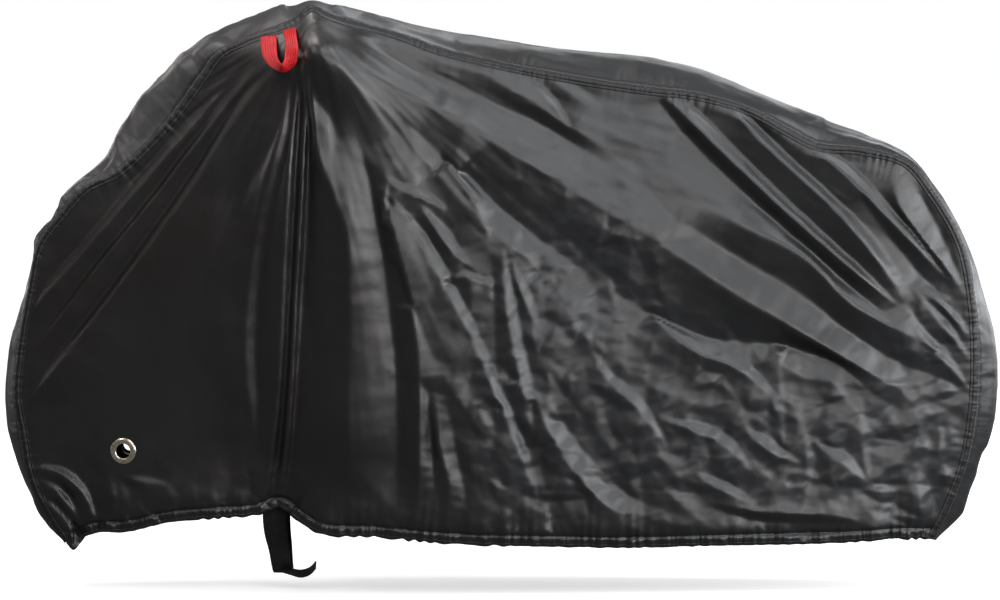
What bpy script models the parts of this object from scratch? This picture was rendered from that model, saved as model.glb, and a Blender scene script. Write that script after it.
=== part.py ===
"""Fitted bicycle cover: two side panels, a spine strip, two lock eyelets, a pull loop and a hem strap.

Tables give the side elevation in millimetres: x runs from the middle of the cover to its rear,
z is the height above the ground, and depth is the distance from the middle plane.
The near side lies at -Y. Everything hangs under one empty, which puts the origin under the
top of the cover at the handlebar.
"""

import math

import bmesh
import bpy
import numpy as np
from mathutils import Vector, noise
from mathutils.bvhtree import BVHTree

MM = 0.001
CLOTH = 2.0  # thickness of the coated cloth with its seam allowance
SEAM_GAP = 0.3  # between a piece and what it is fixed to
SEAM_SLACK = 0.65  # between a panel and the spine strip, sewn edge to edge
COARSE_SLACK = 0.9  # the same on the far side, whose panel has longer facets
TOP = Vector((-335.0, 0.0, 1054.0))  # where the handlebar carries the cover

# The seam between a side panel and the spine strip, from the front hem over the top to the
# rear hem. crown is how far the strip stands out beyond its seams, half_width is the seam's
# depth.
SEAM = (
    # x, z, crown, half_width
    (-787, 85, 6, 46),
    (-819, 135, 14, 48),
    (-846, 189, 16, 50),
    (-866, 290, 26, 55),
    (-875, 344, 24, 57),
    (-869, 432, 21, 61),
    (-850, 540, 10, 66),
    (-828, 630, 7, 70),
    (-792, 677, 12, 75),
    (-743, 729, 19, 82),
    (-688, 756, 43, 88),
    (-630, 808, 60, 95),
    (-576, 868, 70, 102),
    (-526, 936, 56, 110),
    (-504, 967, 40, 115),
    (-455, 994, 34, 122),
    (-366, 1028, 28, 132),
    (-338, 1053, 7, 136),
    (-304, 1039, 17, 133),
    (-182, 1003, 22, 115),
    (-108, 976, 34, 108),
    (-36, 958, 40, 103),
    (108, 929, 47, 96),
    (281, 903, 55, 92),
    (347, 896, 47, 92),
    (461, 862, 34, 90),
    (522, 828, 45, 88),
    (565, 806, 50, 86),
    (652, 796, 29, 82),
    (731, 774, 13, 78),
    (783, 713, 13, 73),
    (832, 626, 14, 68),
    (853, 526, 25, 64),
    (859, 450, 38, 61),
    (854, 306, 42, 56),
    (842, 236, 31, 54),
    (812, 151, 27, 51),
    (783, 90, 8, 48),
)
FRONT_CORNER = 8  # the rows of SEAM where the panel's front, top and rear sides meet
REAR_CORNER = 29

# The lower edge of a side panel, from the front knot to the rear one.
HEM = (
    # x, z, depth
    (-787, 85, 46),
    (-776, 70, 50),
    (-752, 94, 60),
    (-670, 106, 86),
    (-598, 124, 102),
    (-504, 133, 110),
    (-432, 139, 106),
    (-398, 150, 100),
    (-367, 130, 118),
    (-337, 113, 144),
    (-225, 103, 158),
    (-77, 90, 160),
    (81, 86, 158),
    (252, 83, 148),
    (360, 85, 138),
    (504, 86, 122),
    (616, 88, 108),
    (722, 92, 80),
    (783, 90, 48),
)

# Where the bicycle holds the cloth out, between the seams and the hem.
SUPPORTS = {
    # name: (x, z, depth)
    "grip": (-329, 998, 214),
    "brake_lever": (-350, 925, 202),
    "grip_line_high": (-354, 770, 190),
    "grip_line_middle": (-368, 560, 164),
    "grip_line_low": (-384, 330, 136),
    "beside_grip_line": (-306, 560, 178),
    "beside_strap": (-318, 300, 164),
    "front_rim": (-790, 342, 74),
    "front_axle": (-580, 349, 104),
    "fork": (-590, 610, 124),
    "pedal": (-40, 270, 172),
    "middle": (110, 600, 148),
    "saddle_side": (325, 800, 112),
    "rack_side": (640, 690, 98),
    "rear_axle": (558, 349, 112),
    "rear_rim": (770, 378, 80),
}

# Folds by the start, middle and end of their lines. rise is outwards, and less than zero in a
# trough; above and below are how far the fold's flanks reach on each side of its line.
NEAR_FOLDS = {
    # name: (start, middle, end, rise, above, below)
    "front_fan_1": ((-495, 950), (-666, 765), (-792, 646), 11, 16, 12),
    "front_fan_2": ((-428, 958), (-639, 738), (-856, 500), 12, 18, 14),
    "front_fan_3": ((-418, 950), (-646, 673), (-880, 360), 13, 18, 14),
    "front_fan_4": ((-387, 945), (-605, 664), (-864, 315), 18, 22, 26),
    "loop_edge": ((-378, 918), (-428, 540), (-443, 250), 12, 26, 20),
    "strap_pull_1": ((-360, 954), (-383, 594), (-421, 165), 16, 16, 16),
    "strap_pull_2": ((-346, 882), (-363, 576), (-398, 165), 14, 14, 18),
    "grip_fall_1": ((-317, 960), (-268, 600), (-225, 130), 12, 40, 34),
    "grip_fall_2": ((-300, 900), (-190, 520), (-140, 170), 12, 30, 30),
    "top_sweep_1": ((-306, 1030), (-144, 940), (72, 800), 16, 22, 34),
    "top_sweep_2": ((-200, 905), (144, 711), (504, 486), 26, 60, 46),
    "top_sweep_3": ((-108, 792), (99, 617), (432, 432), 12, 18, 30),
    "crumple_edge": ((-189, 702), (-72, 504), (63, 180), 14, 30, 24),
    "belly_1": ((-117, 380), (-104, 270), (-86, 170), 12, 24, 24),
    "belly_2": ((72, 342), (144, 225), (252, 150), 16, 26, 22),
    "saddle_fan_1": ((342, 890), (504, 770), (720, 558), 15, 24, 20),
    "saddle_fan_2": ((290, 860), (479, 705), (712, 516), 24, 26, 14),
    "saddle_fan_3": ((380, 870), (560, 790), (800, 560), 14, 26, 24),
    "rear_sweep_1": ((288, 675), (504, 504), (756, 360), 15, 26, 30),
    "rear_sweep_2": ((400, 690), (640, 520), (828, 380), 13, 24, 24),
    "rear_fall": ((648, 342), (652, 230), (668, 150), 12, 26, 22),
    "rear_gather": ((745, 205), (756, 160), (742, 120), 15, 22, 26),
    "low_rear": ((306, 293), (400, 256), (470, 190), 13, 26, 26),
    "sweep_trough": ((-171, 850), (180, 558), (640, 366), -14, 34, 40),
    "band_trough": ((342, 657), (558, 526), (820, 374), -8, 34, 34),
    "rear_trough": ((652, 709), (712, 630), (820, 492), -9, 34, 34),
    "grip_trough": ((-279, 890), (-222, 620), (-184, 150), -9, 34, 34),
}
FAR_FOLDS = {
    # name: (start, middle, end, rise, above, below)
    "front_fan_1": ((-440, 950), (-640, 750), (-830, 560), 16, 34, 26),
    "front_fan_2": ((-400, 940), (-600, 640), (-840, 330), 18, 36, 36),
    "strap_pull": ((-350, 930), (-376, 560), (-402, 170), 18, 30, 30),
    "grip_fall": ((-300, 930), (-210, 560), (-170, 170), 16, 44, 44),
    "top_sweep_1": ((-280, 1000), (-60, 880), (220, 700), 18, 40, 44),
    "top_sweep_2": ((-230, 900), (160, 640), (560, 400), 24, 60, 50),
    "belly": ((-20, 420), (90, 290), (240, 170), 16, 44, 40),
    "saddle_fan_1": ((340, 880), (520, 720), (740, 500), 20, 40, 34),
    "saddle_fan_2": ((390, 870), (600, 780), (800, 600), 16, 40, 34),
    "rear_fall": ((600, 400), (640, 260), (690, 150), 14, 40, 36),
    "low_front": ((-820, 420), (-790, 300), (-700, 140), 15, 34, 34),
    "strap_gather": ((-560, 420), (-540, 290), (-470, 160), 16, 34, 34),
}

NEAR_FACETS = (72, 28)  # columns and rows of a panel; the strip takes the near panel's
FAR_FACETS = (56, 19)
STRIP_FACETS = 4  # across the strip
DEPTH_SOFTNESS = 60.0  # how round the cloth lies over what holds it out
SEAM_CALM = 26.0  # a fold dies out this near the seams and the hem
NARROWEST = 33.0  # a fold's flank is at least as wide as the panel's facets
FOLD_SAMPLES = 24  # points along a fold's line
FOLD_START = 0.2  # shares of a fold's line over which it rises and dies out
FOLD_END = 0.14

HEM_TUCK = 16.0  # how far the elastic draws the hem's edge in
HEM_TUCK_HEIGHT = 26.0
RUFFLE = 3.2
RUFFLE_PITCH = 74.0
CREASE = 3.4  # small unevenness between the folds
CREASE_SIZE = 95.0
STRIP_ARCH = 2.2  # power of the strip's arch: 2 is a parabola, more is flatter on top
STRIP_RIPPLE = 3.0
STRIP_RIPPLE_SIZE = 46.0

EYELET_AT = (-679.0, 254.0)
EYELET_HOLE = 13.0  # radius of the opening
EYELET_BARREL = 14.5
EYELET_FLANGE = 24.0
EYELET_WASHER = 21.5
EYELET_FRONT = CLOTH + SEAM_GAP  # heights above the cloth's inner face
EYELET_SHOULDER = EYELET_FRONT + 1.4
EYELET_CROWN = EYELET_FRONT + 2.4
EYELET_BACK = -1.5
EYELET_STEPS = 24
EYELET_WELD = 0.01
HOLE_CUTTER = 24.0  # height of the cutter that opens the cloth
FLAT_RADIUS = 62.0  # the cloth is flat this far round an eyelet
FLAT_BLEND = 48.0
FLAT_PROBE = 12.0  # how far out the cloth's slope at an eyelet is read

WEBBING = 1.8
RAY_START = 600.0  # rays onto a panel's outer face start this far out
LOOP_STATIONS = 25
LOOP_FACETS = 3  # across the webbing
LOOP_PROBES = 5  # places across the webbing where the panel under it is read
LOOP_WINDOW = 6.0  # the panel is also read this far ahead and behind
LOOP_WINDOW_AT_END = 0.5
LOOP_WINDOW_GROWTH = 3.0  # for each station away from an end
LOOP_SLOPE = 0.8  # how steeply the pull loop follows the panel that it lies on
LOOP = (
    # x, z, width, lean out of the panel in degrees, clear of the panel
    (-413, 999, 32, 0, 0.3),
    (-412, 985, 33, 0, 1.5),
    (-409, 968, 32, 8, 5.0),
    (-398, 950, 26, 35, 8.0),
    (-385, 943, 22, 50, 10.0),
    (-374, 951, 22, 46, 9.0),
    (-369, 972, 26, 22, 6.0),
    (-371, 994, 27, 6, 2.0),
    (-376, 1012, 27, 0, 0.3),
)
STRAP_X = -407.0
STRAP_TOP = 168.0  # the strap is sewn to the inside of the hem between these heights
STRAP_FREE = 146.0
STRAP_WIDTH = 44.0
STRAP_STATIONS = 27
STRAP_FACETS = 2  # across the webbing
STRAP_PROBES = (9, 7)  # places across and up where the panel over the strap's end is read
STRAP_HALF = (
    # x, depth, z, width
    (-405, 64, 100, 42),
    (-400, 51, 70, 38),
    (-397, 41, 44, 36),
    (-395, 26, 30, 36),
    (-394, 0, 26, 36),
)
TAIL_STATIONS = 13
TAIL = (
    # x, depth, z, width, lean in degrees
    (-396, 38, 33.5, 34, 8),
    (-378, 40, 30, 33, 16),
    (-360, 42, 27, 32, 22),
    (-345, 43, 32, 31, 24),
    (-334, 44, 43, 30, 26),
)


def smooth_rows(table, at):
    """The rows of a table, read at distances along its first two columns, as a smooth curve."""
    rows = np.array(table, float)
    along = row_distances(rows)
    slope = np.gradient(rows, along, axis=0)
    i = np.clip(np.searchsorted(along, at, side="right") - 1, 0, len(rows) - 2)
    step = along[i + 1] - along[i]
    t = ((at - along[i]) / step)[:, None]
    step = step[:, None]
    return (
        (2 * t**3 - 3 * t**2 + 1) * rows[i]
        + (t**3 - 2 * t**2 + t) * step * slope[i]
        + (3 * t**2 - 2 * t**3) * rows[i + 1]
        + (t**3 - t**2) * step * slope[i + 1]
    )


def row_distances(rows):
    lengths = np.hypot(np.diff(rows[:, 0]), np.diff(rows[:, 1]))
    return np.concatenate([[0.0], np.cumsum(lengths)])


def seam_points(first_row, last_row, shares):
    """Rows of SEAM at shares of the way between two of its rows."""
    along = row_distances(np.array(SEAM, float))
    return smooth_rows(SEAM, along[first_row] + (along[last_row] - along[first_row]) * shares)


def panel_sides(columns, rows):
    """The four sides of a side panel as x, z and depth: hem, top, front and rear."""
    across = np.linspace(0, 1, columns + 1)
    up = np.linspace(0, 1, rows + 1)
    keep = [0, 1, 3]
    hem = np.array(HEM, float)
    return (
        smooth_rows(HEM, row_distances(hem)[-1] * across),
        seam_points(FRONT_CORNER, REAR_CORNER, across)[:, keep],
        seam_points(0, FRONT_CORNER, up)[:, keep],
        seam_points(len(SEAM) - 1, REAR_CORNER, up)[:, keep],
    )


def between_sides(hem, top, front, rear):
    """Fills the panel between its four sides, as an array of rows, columns and values."""
    a = np.linspace(0, 1, len(hem))[None, :, None]
    b = np.linspace(0, 1, len(front))[:, None, None]
    corners = (
        (1 - a) * (1 - b) * hem[0]
        + a * (1 - b) * hem[-1]
        + (1 - a) * b * top[0]
        + a * b * top[-1]
    )
    return (
        (1 - b) * hem[None]
        + b * top[None]
        + (1 - a) * front[:, None]
        + a * rear[:, None]
        - corners
    )


def spread_depth(x, z):
    """The depth of cloth held by the seams, the hem and the bicycle, without its folds."""
    seam = np.array(SEAM, float)[:, [0, 1, 3]]
    held = np.vstack([seam, np.array(HEM, float)[1:-1], list(SUPPORTS.values())])
    span = np.hypot(held[:, None, 0] - held[None, :, 0], held[:, None, 1] - held[None, :, 1])
    weights = np.linalg.solve(np.sqrt(span**2 + DEPTH_SOFTNESS**2), held[:, 2])
    reach = np.hypot(x[..., None] - held[:, 0], z[..., None] - held[:, 1])
    return np.sqrt(reach**2 + DEPTH_SOFTNESS**2) @ weights


def fold_rise(x, z, fold):
    """How far one fold lifts the cloth at each point."""
    start, middle, end, rise, above, below = fold
    start, middle, end = (np.array(p, float) for p in (start, middle, end))
    pull = 2 * middle - (start + end) / 2
    t = np.linspace(0, 1, FOLD_SAMPLES)[:, None]
    line = (1 - t) ** 2 * start + 2 * t * (1 - t) * pull + t**2 * end
    points = np.stack([x.ravel(), z.ravel()], axis=1)
    best = np.full(len(points), np.inf)
    side = np.zeros(len(points))
    share = np.zeros(len(points))
    for i in range(FOLD_SAMPLES - 1):
        run = line[i + 1] - line[i]
        away = points - line[i]
        part = np.clip(away @ run / (run @ run), 0, 1)
        gap = np.hypot(*(away - part[:, None] * run).T)
        nearer = gap < best
        best[nearer] = gap[nearer]
        turn = run[0] * away[:, 1] - run[1] * away[:, 0]
        side[nearer] = (turn * np.sign(run[0] + 1e-9))[nearer]
        share[nearer] = ((i + part) / (FOLD_SAMPLES - 1))[nearer]
    width = np.where(side > 0, max(above, NARROWEST), max(below, NARROWEST))
    swell = np.clip(share / FOLD_START, 0, 1) * np.clip((1 - share) / FOLD_END, 0, 1)
    return (rise * swell * np.exp(-((best / width) ** 2))).reshape(x.shape)


def unevenness(x, z, seed):
    """Small random unevenness, between -1 and 1, the same each time."""
    flat = [
        noise.noise(Vector((a / CREASE_SIZE, seed, b / CREASE_SIZE)))
        for a, b in zip(x.ravel(), z.ravel())
    ]
    return np.array(flat).reshape(x.shape)


def eyelet_plane(x, z):
    """The flat patch of cloth round the eyelet: its depth over the elevation, and its slopes."""
    near = FLAT_PROBE
    at_x, at_z = EYELET_AT
    probe_x = np.array([at_x, at_x + near, at_x - near, at_x, at_x])
    probe_z = np.array([at_z, at_z, at_z, at_z + near, at_z - near])
    depth = spread_depth(probe_x, probe_z)
    slope_x = (depth[1] - depth[2]) / (2 * near)
    slope_z = (depth[3] - depth[4]) / (2 * near)
    return depth[0] + slope_x * (x - at_x) + slope_z * (z - at_z), slope_x, slope_z


def panel_surface(facets, folds, seed):
    """The inner face of a side panel in millimetres: x, z and depth by row and column."""
    sides = panel_sides(*facets)
    grid = between_sides(*sides)
    x, z = grid[..., 0], grid[..., 1]
    smooth = spread_depth(x, z)
    edges = [side[:, 2:] for side in sides]
    loose = [smooth[0], smooth[-1], smooth[:, 0], smooth[:, -1]]
    mend = between_sides(*(edge - row[:, None] for edge, row in zip(edges, loose)))[..., 0]
    from_seam = seam_distance(x, z)
    from_hem = hem_distance(x, z)
    calm = np.clip(from_seam / SEAM_CALM, 0, 1) * np.clip(from_hem / SEAM_CALM, 0, 1)
    lift = sum(fold_rise(x, z, fold) for fold in folds.values())
    lift = calm * (lift + CREASE * unevenness(x, z, seed))
    tuck = np.exp(-((from_hem / HEM_TUCK_HEIGHT) ** 2))
    ruffle = RUFFLE * np.sin(2 * math.pi * x / RUFFLE_PITCH + seed)
    inside = np.clip(from_seam / SEAM_CALM, 0, 1)
    depth = smooth + mend + lift + inside * tuck * (ruffle - HEM_TUCK)
    patch = eyelet_plane(x, z)[0]
    near = np.hypot(x - EYELET_AT[0], z - EYELET_AT[1])
    keep = np.clip((near - FLAT_RADIUS) / FLAT_BLEND, 0, 1)
    keep = keep * keep * (3 - 2 * keep)
    return np.stack([x, z, patch + (depth - patch) * keep], axis=-1)


def line_distance(x, z, line):
    """The distance from each point to a line of points."""
    best = np.full(x.shape, np.inf)
    for a, b in zip(line[:-1], line[1:]):
        run = b - a
        part = ((x - a[0]) * run[0] + (z - a[1]) * run[1]) / (run @ run)
        part = np.clip(part, 0, 1)
        gap = np.hypot(x - a[0] - part * run[0], z - a[1] - part * run[1])
        best = np.minimum(best, gap)
    return best


def seam_distance(x, z):
    return line_distance(x, z, np.array(SEAM, float)[:, :2])


def hem_distance(x, z):
    return line_distance(x, z, np.array(HEM, float)[:, :2])


def add_material(name, colour, roughness, metallic=0.0):
    material = bpy.data.materials.new(name)
    material.use_nodes = True
    shader = material.node_tree.nodes["Principled BSDF"]
    shader.inputs["Base Color"].default_value = (*colour, 1.0)
    shader.inputs["Roughness"].default_value = roughness
    shader.inputs["Metallic"].default_value = metallic
    material.diffuse_color = (*colour, 1.0)
    return material


def add_object(name, mesh, material, collection, root):
    obj = bpy.data.objects.new(name, mesh)
    if material is not None:
        mesh.materials.append(material)
    collection.objects.link(obj)
    obj.parent = root
    return obj


def grid_mesh(name, points):
    """A mesh of points given by row and column, in millimetres, facing along row x column."""
    rows, columns = points.shape[:2]
    bm = bmesh.new()
    bmesh.ops.create_grid(bm, x_segments=columns - 1, y_segments=rows - 1, size=1.0)
    for vert in bm.verts:
        column = round((vert.co.x + 1) / 2 * (columns - 1))
        row = round((vert.co.y + 1) / 2 * (rows - 1))
        vert.co = Vector(points[row, column]) * MM
    mesh = bpy.data.meshes.new(name)
    bm.to_mesh(mesh)
    bm.free()
    return mesh


def thicken(obj, thickness, offset):
    solid = obj.modifiers.new("Solidify", "SOLIDIFY")
    solid.thickness = thickness * MM
    solid.offset = offset


def add_side_panel(name, side, facets, folds, seed, material, collection, root):
    """A side panel; side is -1 for the near one and 1 for the far one."""
    surface = panel_surface(facets, folds, seed)
    inward = surface[..., :2] - surface[..., :2].mean(axis=(0, 1))
    distance = seam_distance(surface[..., 0], surface[..., 1])
    gap = SEAM_SLACK if side < 0 else COARSE_SLACK
    push = np.clip(1 - distance / SEAM_CALM, 0, 1)[..., None] * gap
    length = np.linalg.norm(inward, axis=-1, keepdims=True)
    flat = surface[..., :2] - push * inward / length
    points = np.stack([flat[..., 0], side * surface[..., 2], flat[..., 1]], axis=-1)
    obj = add_object(name, grid_mesh(name, points), material, collection, root)
    thicken(obj, CLOTH, 1.0 if side < 0 else -1.0)
    return obj


def strip_stations():
    """SEAM rows at the very places where the near panel's edge has its corners."""
    columns, rows = NEAR_FACETS
    up = np.linspace(0, 1, rows + 1)
    across = np.linspace(0, 1, columns + 1)
    front = seam_points(0, FRONT_CORNER, up)
    top = seam_points(FRONT_CORNER, REAR_CORNER, across)
    rear = seam_points(REAR_CORNER, len(SEAM) - 1, up)
    return np.vstack([front, top[1:], rear[1:]])


def add_spine_strip(material, collection, root):
    """The strip over the top, arched between its two seams."""
    stations = strip_stations()
    along = np.gradient(stations[:, :2], axis=0)
    along /= np.linalg.norm(along, axis=1, keepdims=True)
    outward = np.stack([-along[:, 1], along[:, 0]], axis=1)
    points = []
    for share in np.linspace(-1, 1, STRIP_FACETS + 1):
        ripple = [
            noise.noise(Vector((x / STRIP_RIPPLE_SIZE, share, z / STRIP_RIPPLE_SIZE)))
            for x, z in stations[:, :2]
        ]
        rise = stations[:, 2] * (1 - abs(share) ** STRIP_ARCH)
        rise = rise + STRIP_RIPPLE * np.array(ripple) * (1 - share**2)
        flat = stations[:, :2] + outward * rise[:, None]
        depth = share * stations[:, 3]
        points.append(np.stack([flat[:, 0], depth, flat[:, 1]], axis=-1))
    mesh = grid_mesh("spine_strip", np.array(points))
    obj = add_object("spine_strip", mesh, material, collection, root)
    thicken(obj, CLOTH, -1.0)
    return obj


def eyelet_profile():
    """A C-shaped section that clips the cloth: radius and height above the cloth's inner face."""
    return (
        (EYELET_HOLE, EYELET_FRONT - 0.2),
        (EYELET_HOLE + 0.6, EYELET_SHOULDER),
        (EYELET_HOLE + 3.2, EYELET_CROWN),
        (EYELET_FLANGE - 4.0, EYELET_CROWN),
        (EYELET_FLANGE - 0.7, EYELET_SHOULDER),
        (EYELET_FLANGE, EYELET_FRONT),
        (EYELET_BARREL, EYELET_FRONT),
        (EYELET_BARREL, -SEAM_GAP),
        (EYELET_WASHER, -SEAM_GAP),
        (EYELET_WASHER, EYELET_BACK),
        (EYELET_HOLE, EYELET_BACK),
    )


def eyelet_place(side):
    """The middle of the eyelet's hole on the cloth's inner face, and the way it faces."""
    depth, slope_x, slope_z = eyelet_plane(*np.array(EYELET_AT))
    place = Vector((EYELET_AT[0], side * float(depth), EYELET_AT[1])) * MM
    facing = Vector((-slope_x, side, -slope_z)).normalized()
    return place, facing


def add_eyelet(name, side, material, collection, root):
    profile = eyelet_profile()
    mesh = bpy.data.meshes.new(name)
    corners = [(radius * MM, 0.0, height * MM) for radius, height in profile]
    edges = [(i, (i + 1) % len(corners)) for i in range(len(corners))]
    mesh.from_pydata(corners, edges, [])
    obj = add_object(name, mesh, material, collection, root)
    turn = obj.modifiers.new("Screw", "SCREW")
    turn.steps = EYELET_STEPS
    turn.render_steps = EYELET_STEPS
    turn.use_merge_vertices = True
    turn.merge_threshold = EYELET_WELD * MM
    place, facing = eyelet_place(side)
    obj.location = place
    obj.rotation_mode = "QUATERNION"
    obj.rotation_quaternion = facing.to_track_quat("Z", "Y")
    return obj


def cut_eyelet_hole(panel, side, cutters, root):
    bm = bmesh.new()
    radius = (EYELET_BARREL + SEAM_GAP) * MM
    bmesh.ops.create_cone(
        bm,
        cap_ends=True,
        segments=EYELET_STEPS,
        radius1=radius,
        radius2=radius,
        depth=HOLE_CUTTER * MM,
    )
    mesh = bpy.data.meshes.new(panel.name + "_hole")
    bm.to_mesh(mesh)
    bm.free()
    cutter = add_object(panel.name + "_hole", mesh, None, cutters, root)
    cutter.hide_render = True
    cutter.display_type = "WIRE"
    place, facing = eyelet_place(side)
    cutter.location = place
    cutter.rotation_mode = "QUATERNION"
    cutter.rotation_quaternion = facing.to_track_quat("Z", "Y")
    cut = panel.modifiers.new("Eyelet hole", "BOOLEAN")
    cut.operation = "DIFFERENCE"
    cut.solver = "EXACT"
    cut.object = cutter


def panel_tree(panel):
    """The panel's finished surface, to lay webbing on."""
    bpy.context.view_layer.update()
    graph = bpy.context.evaluated_depsgraph_get()
    return BVHTree.FromObject(panel, graph)


def ribbon(centres, widths, across, segments):
    """Points of a ribbon: its middle line, with a width and a direction across at each place."""
    shares = np.linspace(-0.5, 0.5, segments + 1)
    centres = np.array(centres, float)
    steps = np.array(widths, float)[:, None] * np.array(across, float)
    return np.array([centres + share * steps for share in shares])


def refine(table, count):
    """A table's rows as a smooth curve of evenly spaced places."""
    rows = np.array(table, float)
    return smooth_rows(table, np.linspace(0, row_distances(rows)[-1], count))


def add_pull_loop(panel, material, collection, root):
    """A loop of webbing sewn into the near seam with both ends, lying on the panel."""
    tree = panel_tree(panel)
    places = refine(LOOP, LOOP_STATIONS)
    along = np.gradient(places[:, :2], axis=0)
    along /= np.linalg.norm(along, axis=1, keepdims=True)
    centres = []
    across = []
    from_end = np.minimum(np.arange(LOOP_STATIONS), np.arange(LOOP_STATIONS)[::-1])
    reach = np.minimum(LOOP_WINDOW, LOOP_WINDOW_AT_END + LOOP_WINDOW_GROWTH * from_end)
    shares = np.linspace(-0.5, 0.5, LOOP_PROBES)
    for (x, z, width, lean, clear), (run_x, run_z), window in zip(places, along, reach):
        fronts = [
            min(
                panel_front(
                    tree,
                    x - share * width * run_z + step * run_x,
                    z + share * width * run_x + step * run_z,
                )
                for step in (-window, 0.0, window)
            )
            for share in shares
        ]
        slope = (fronts[-1] - fronts[0]) / (shares[-1] - shares[0]) / width
        slope = min(max(slope, -LOOP_SLOPE), LOOP_SLOPE) - math.tan(math.radians(lean))
        lowest = min(y - slope * width * share for y, share in zip(fronts, shares))
        depth = lowest - (clear + WEBBING / 2) * math.hypot(1, slope)
        centres.append((x, depth, z))
        across.append((-run_z, slope, run_x))
    points = ribbon(centres, places[:, 2], across, LOOP_FACETS)
    obj = add_object("pull_loop", grid_mesh("pull_loop", points), material, collection, root)
    thicken(obj, WEBBING, 0.0)
    return obj


def panel_front(tree, x, z):
    """The depth coordinate of the near panel's outer face at a place of the elevation."""
    start = Vector((x, -RAY_START, z)) * MM
    hit = tree.ray_cast(start, Vector((0.0, 1.0, 0.0)))[0]
    return hit.y / MM if hit is not None else 0.0


def inner_depth(panel, side, width, low, high):
    """The least depth of a panel's inner face behind the end of the hem strap."""
    tree = panel_tree(panel)
    depths = []
    for x in np.linspace(STRAP_X - width / 2, STRAP_X + width / 2, STRAP_PROBES[0]):
        for z in np.linspace(low, high, STRAP_PROBES[1]):
            start = Vector((x, 0.0, z)) * MM
            hit = tree.ray_cast(start, Vector((0.0, side, 0.0)))[0]
            if hit is not None:
                depths.append(abs(hit.y) / MM)
    return min(depths)


def strap_side(panel, side):
    """The strap's rows from one hem down to the middle."""
    seat = inner_depth(panel, side, STRAP_WIDTH, STRAP_FREE, STRAP_TOP)
    seat -= SEAM_GAP + WEBBING / 2
    sewn = [
        (STRAP_X, seat, STRAP_TOP, STRAP_WIDTH),
        (STRAP_X, seat, (STRAP_TOP + STRAP_FREE) / 2, STRAP_WIDTH),
        (STRAP_X, seat - 1.0, STRAP_FREE, STRAP_WIDTH),
    ]
    return np.vstack([sewn, STRAP_HALF]) * (1, side, 1, 1)


def add_hem_strap(near_panel, far_panel, material, collection, root):
    """The strap under the front wheel, from hem to hem."""
    rows = np.vstack([strap_side(near_panel, -1), strap_side(far_panel, 1)[-2::-1]])
    rows = refine(rows[:, [1, 2, 0, 3]], STRAP_STATIONS)
    centres = rows[:, [2, 0, 1]]
    across = np.tile((1.0, 0.0, 0.0), (len(rows), 1))
    band = ribbon(centres, rows[:, 3], across, STRAP_FACETS)
    obj = add_object("hem_strap", grid_mesh("hem_strap", band), material, collection, root)
    thicken(obj, WEBBING, 0.0)
    return obj


def add_strap_tail(strap, cutters, root):
    """The strap's loose end, curling up beside the wheel, joined to the strap."""
    rows = refine(np.array(TAIL, float)[:, [0, 2, 1, 3, 4]], TAIL_STATIONS)
    centres = np.stack([rows[:, 0], -rows[:, 2], rows[:, 1]], axis=1)
    lean = np.radians(rows[:, 4])
    across = np.stack([np.zeros(len(rows)), np.cos(lean), np.sin(lean)], axis=1)
    points = ribbon(centres, rows[:, 3], across, STRAP_FACETS)
    tail = add_object("strap_tail", grid_mesh("strap_tail", points), None, cutters, root)
    tail.hide_render = True
    tail.display_type = "WIRE"
    thicken(tail, WEBBING, 0.0)
    join = strap.modifiers.new("Tail", "BOOLEAN")
    join.operation = "UNION"
    join.solver = "EXACT"
    join.object = tail


def main():
    for old in list(bpy.data.objects):
        bpy.data.objects.remove(old, do_unlink=True)
    scene = bpy.context.scene.collection
    parts = bpy.data.collections.new("bicycle_cover")
    cutters = bpy.data.collections.new("cutters")
    scene.children.link(parts)
    scene.children.link(cutters)
    root = bpy.data.objects.new("cover_root", None)
    parts.objects.link(root)
    root.location = -TOP * MM

    cloth = add_material("coated_cloth", (0.030, 0.029, 0.031), 0.42)
    strip_cloth = add_material("strip_cloth", (0.036, 0.036, 0.040), 0.45)
    steel = add_material("plated_steel", (0.72, 0.70, 0.64), 0.22, 1.0)
    red_webbing = add_material("red_webbing", (0.72, 0.02, 0.03), 0.55)
    black_webbing = add_material("black_webbing", (0.012, 0.012, 0.012), 0.7)

    near = add_side_panel(
        "side_panel_near", -1, NEAR_FACETS, NEAR_FOLDS, 0.4, cloth, parts, root
    )
    far = add_side_panel("side_panel_far", 1, FAR_FACETS, FAR_FOLDS, 2.1, cloth, parts, root)
    add_spine_strip(strip_cloth, parts, root)
    for panel, side, label in ((near, -1, "near"), (far, 1, "far")):
        cut_eyelet_hole(panel, side, cutters, root)
        add_eyelet("lock_eyelet_" + label, side, steel, parts, root)
    add_pull_loop(near, red_webbing, parts, root)
    strap = add_hem_strap(near, far, black_webbing, parts, root)
    add_strap_tail(strap, cutters, root)


main()
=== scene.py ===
"""Looks of the bicycle cover: its cloth, seams, hem, eyelets, loop and strap, in a studio.

Tables give the side elevation in millimetres, as the solids do: x from the middle of the cover to
its rear, z above the ground, depth from the middle plane. Fold lines are written in pixels of the
1000 x 600 picture, where PIXEL is the size of one pixel at the cover.
"""

import math

import bmesh
import bpy
import numpy as np
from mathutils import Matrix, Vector, geometry, noise
from mathutils.bvhtree import BVHTree


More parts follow.
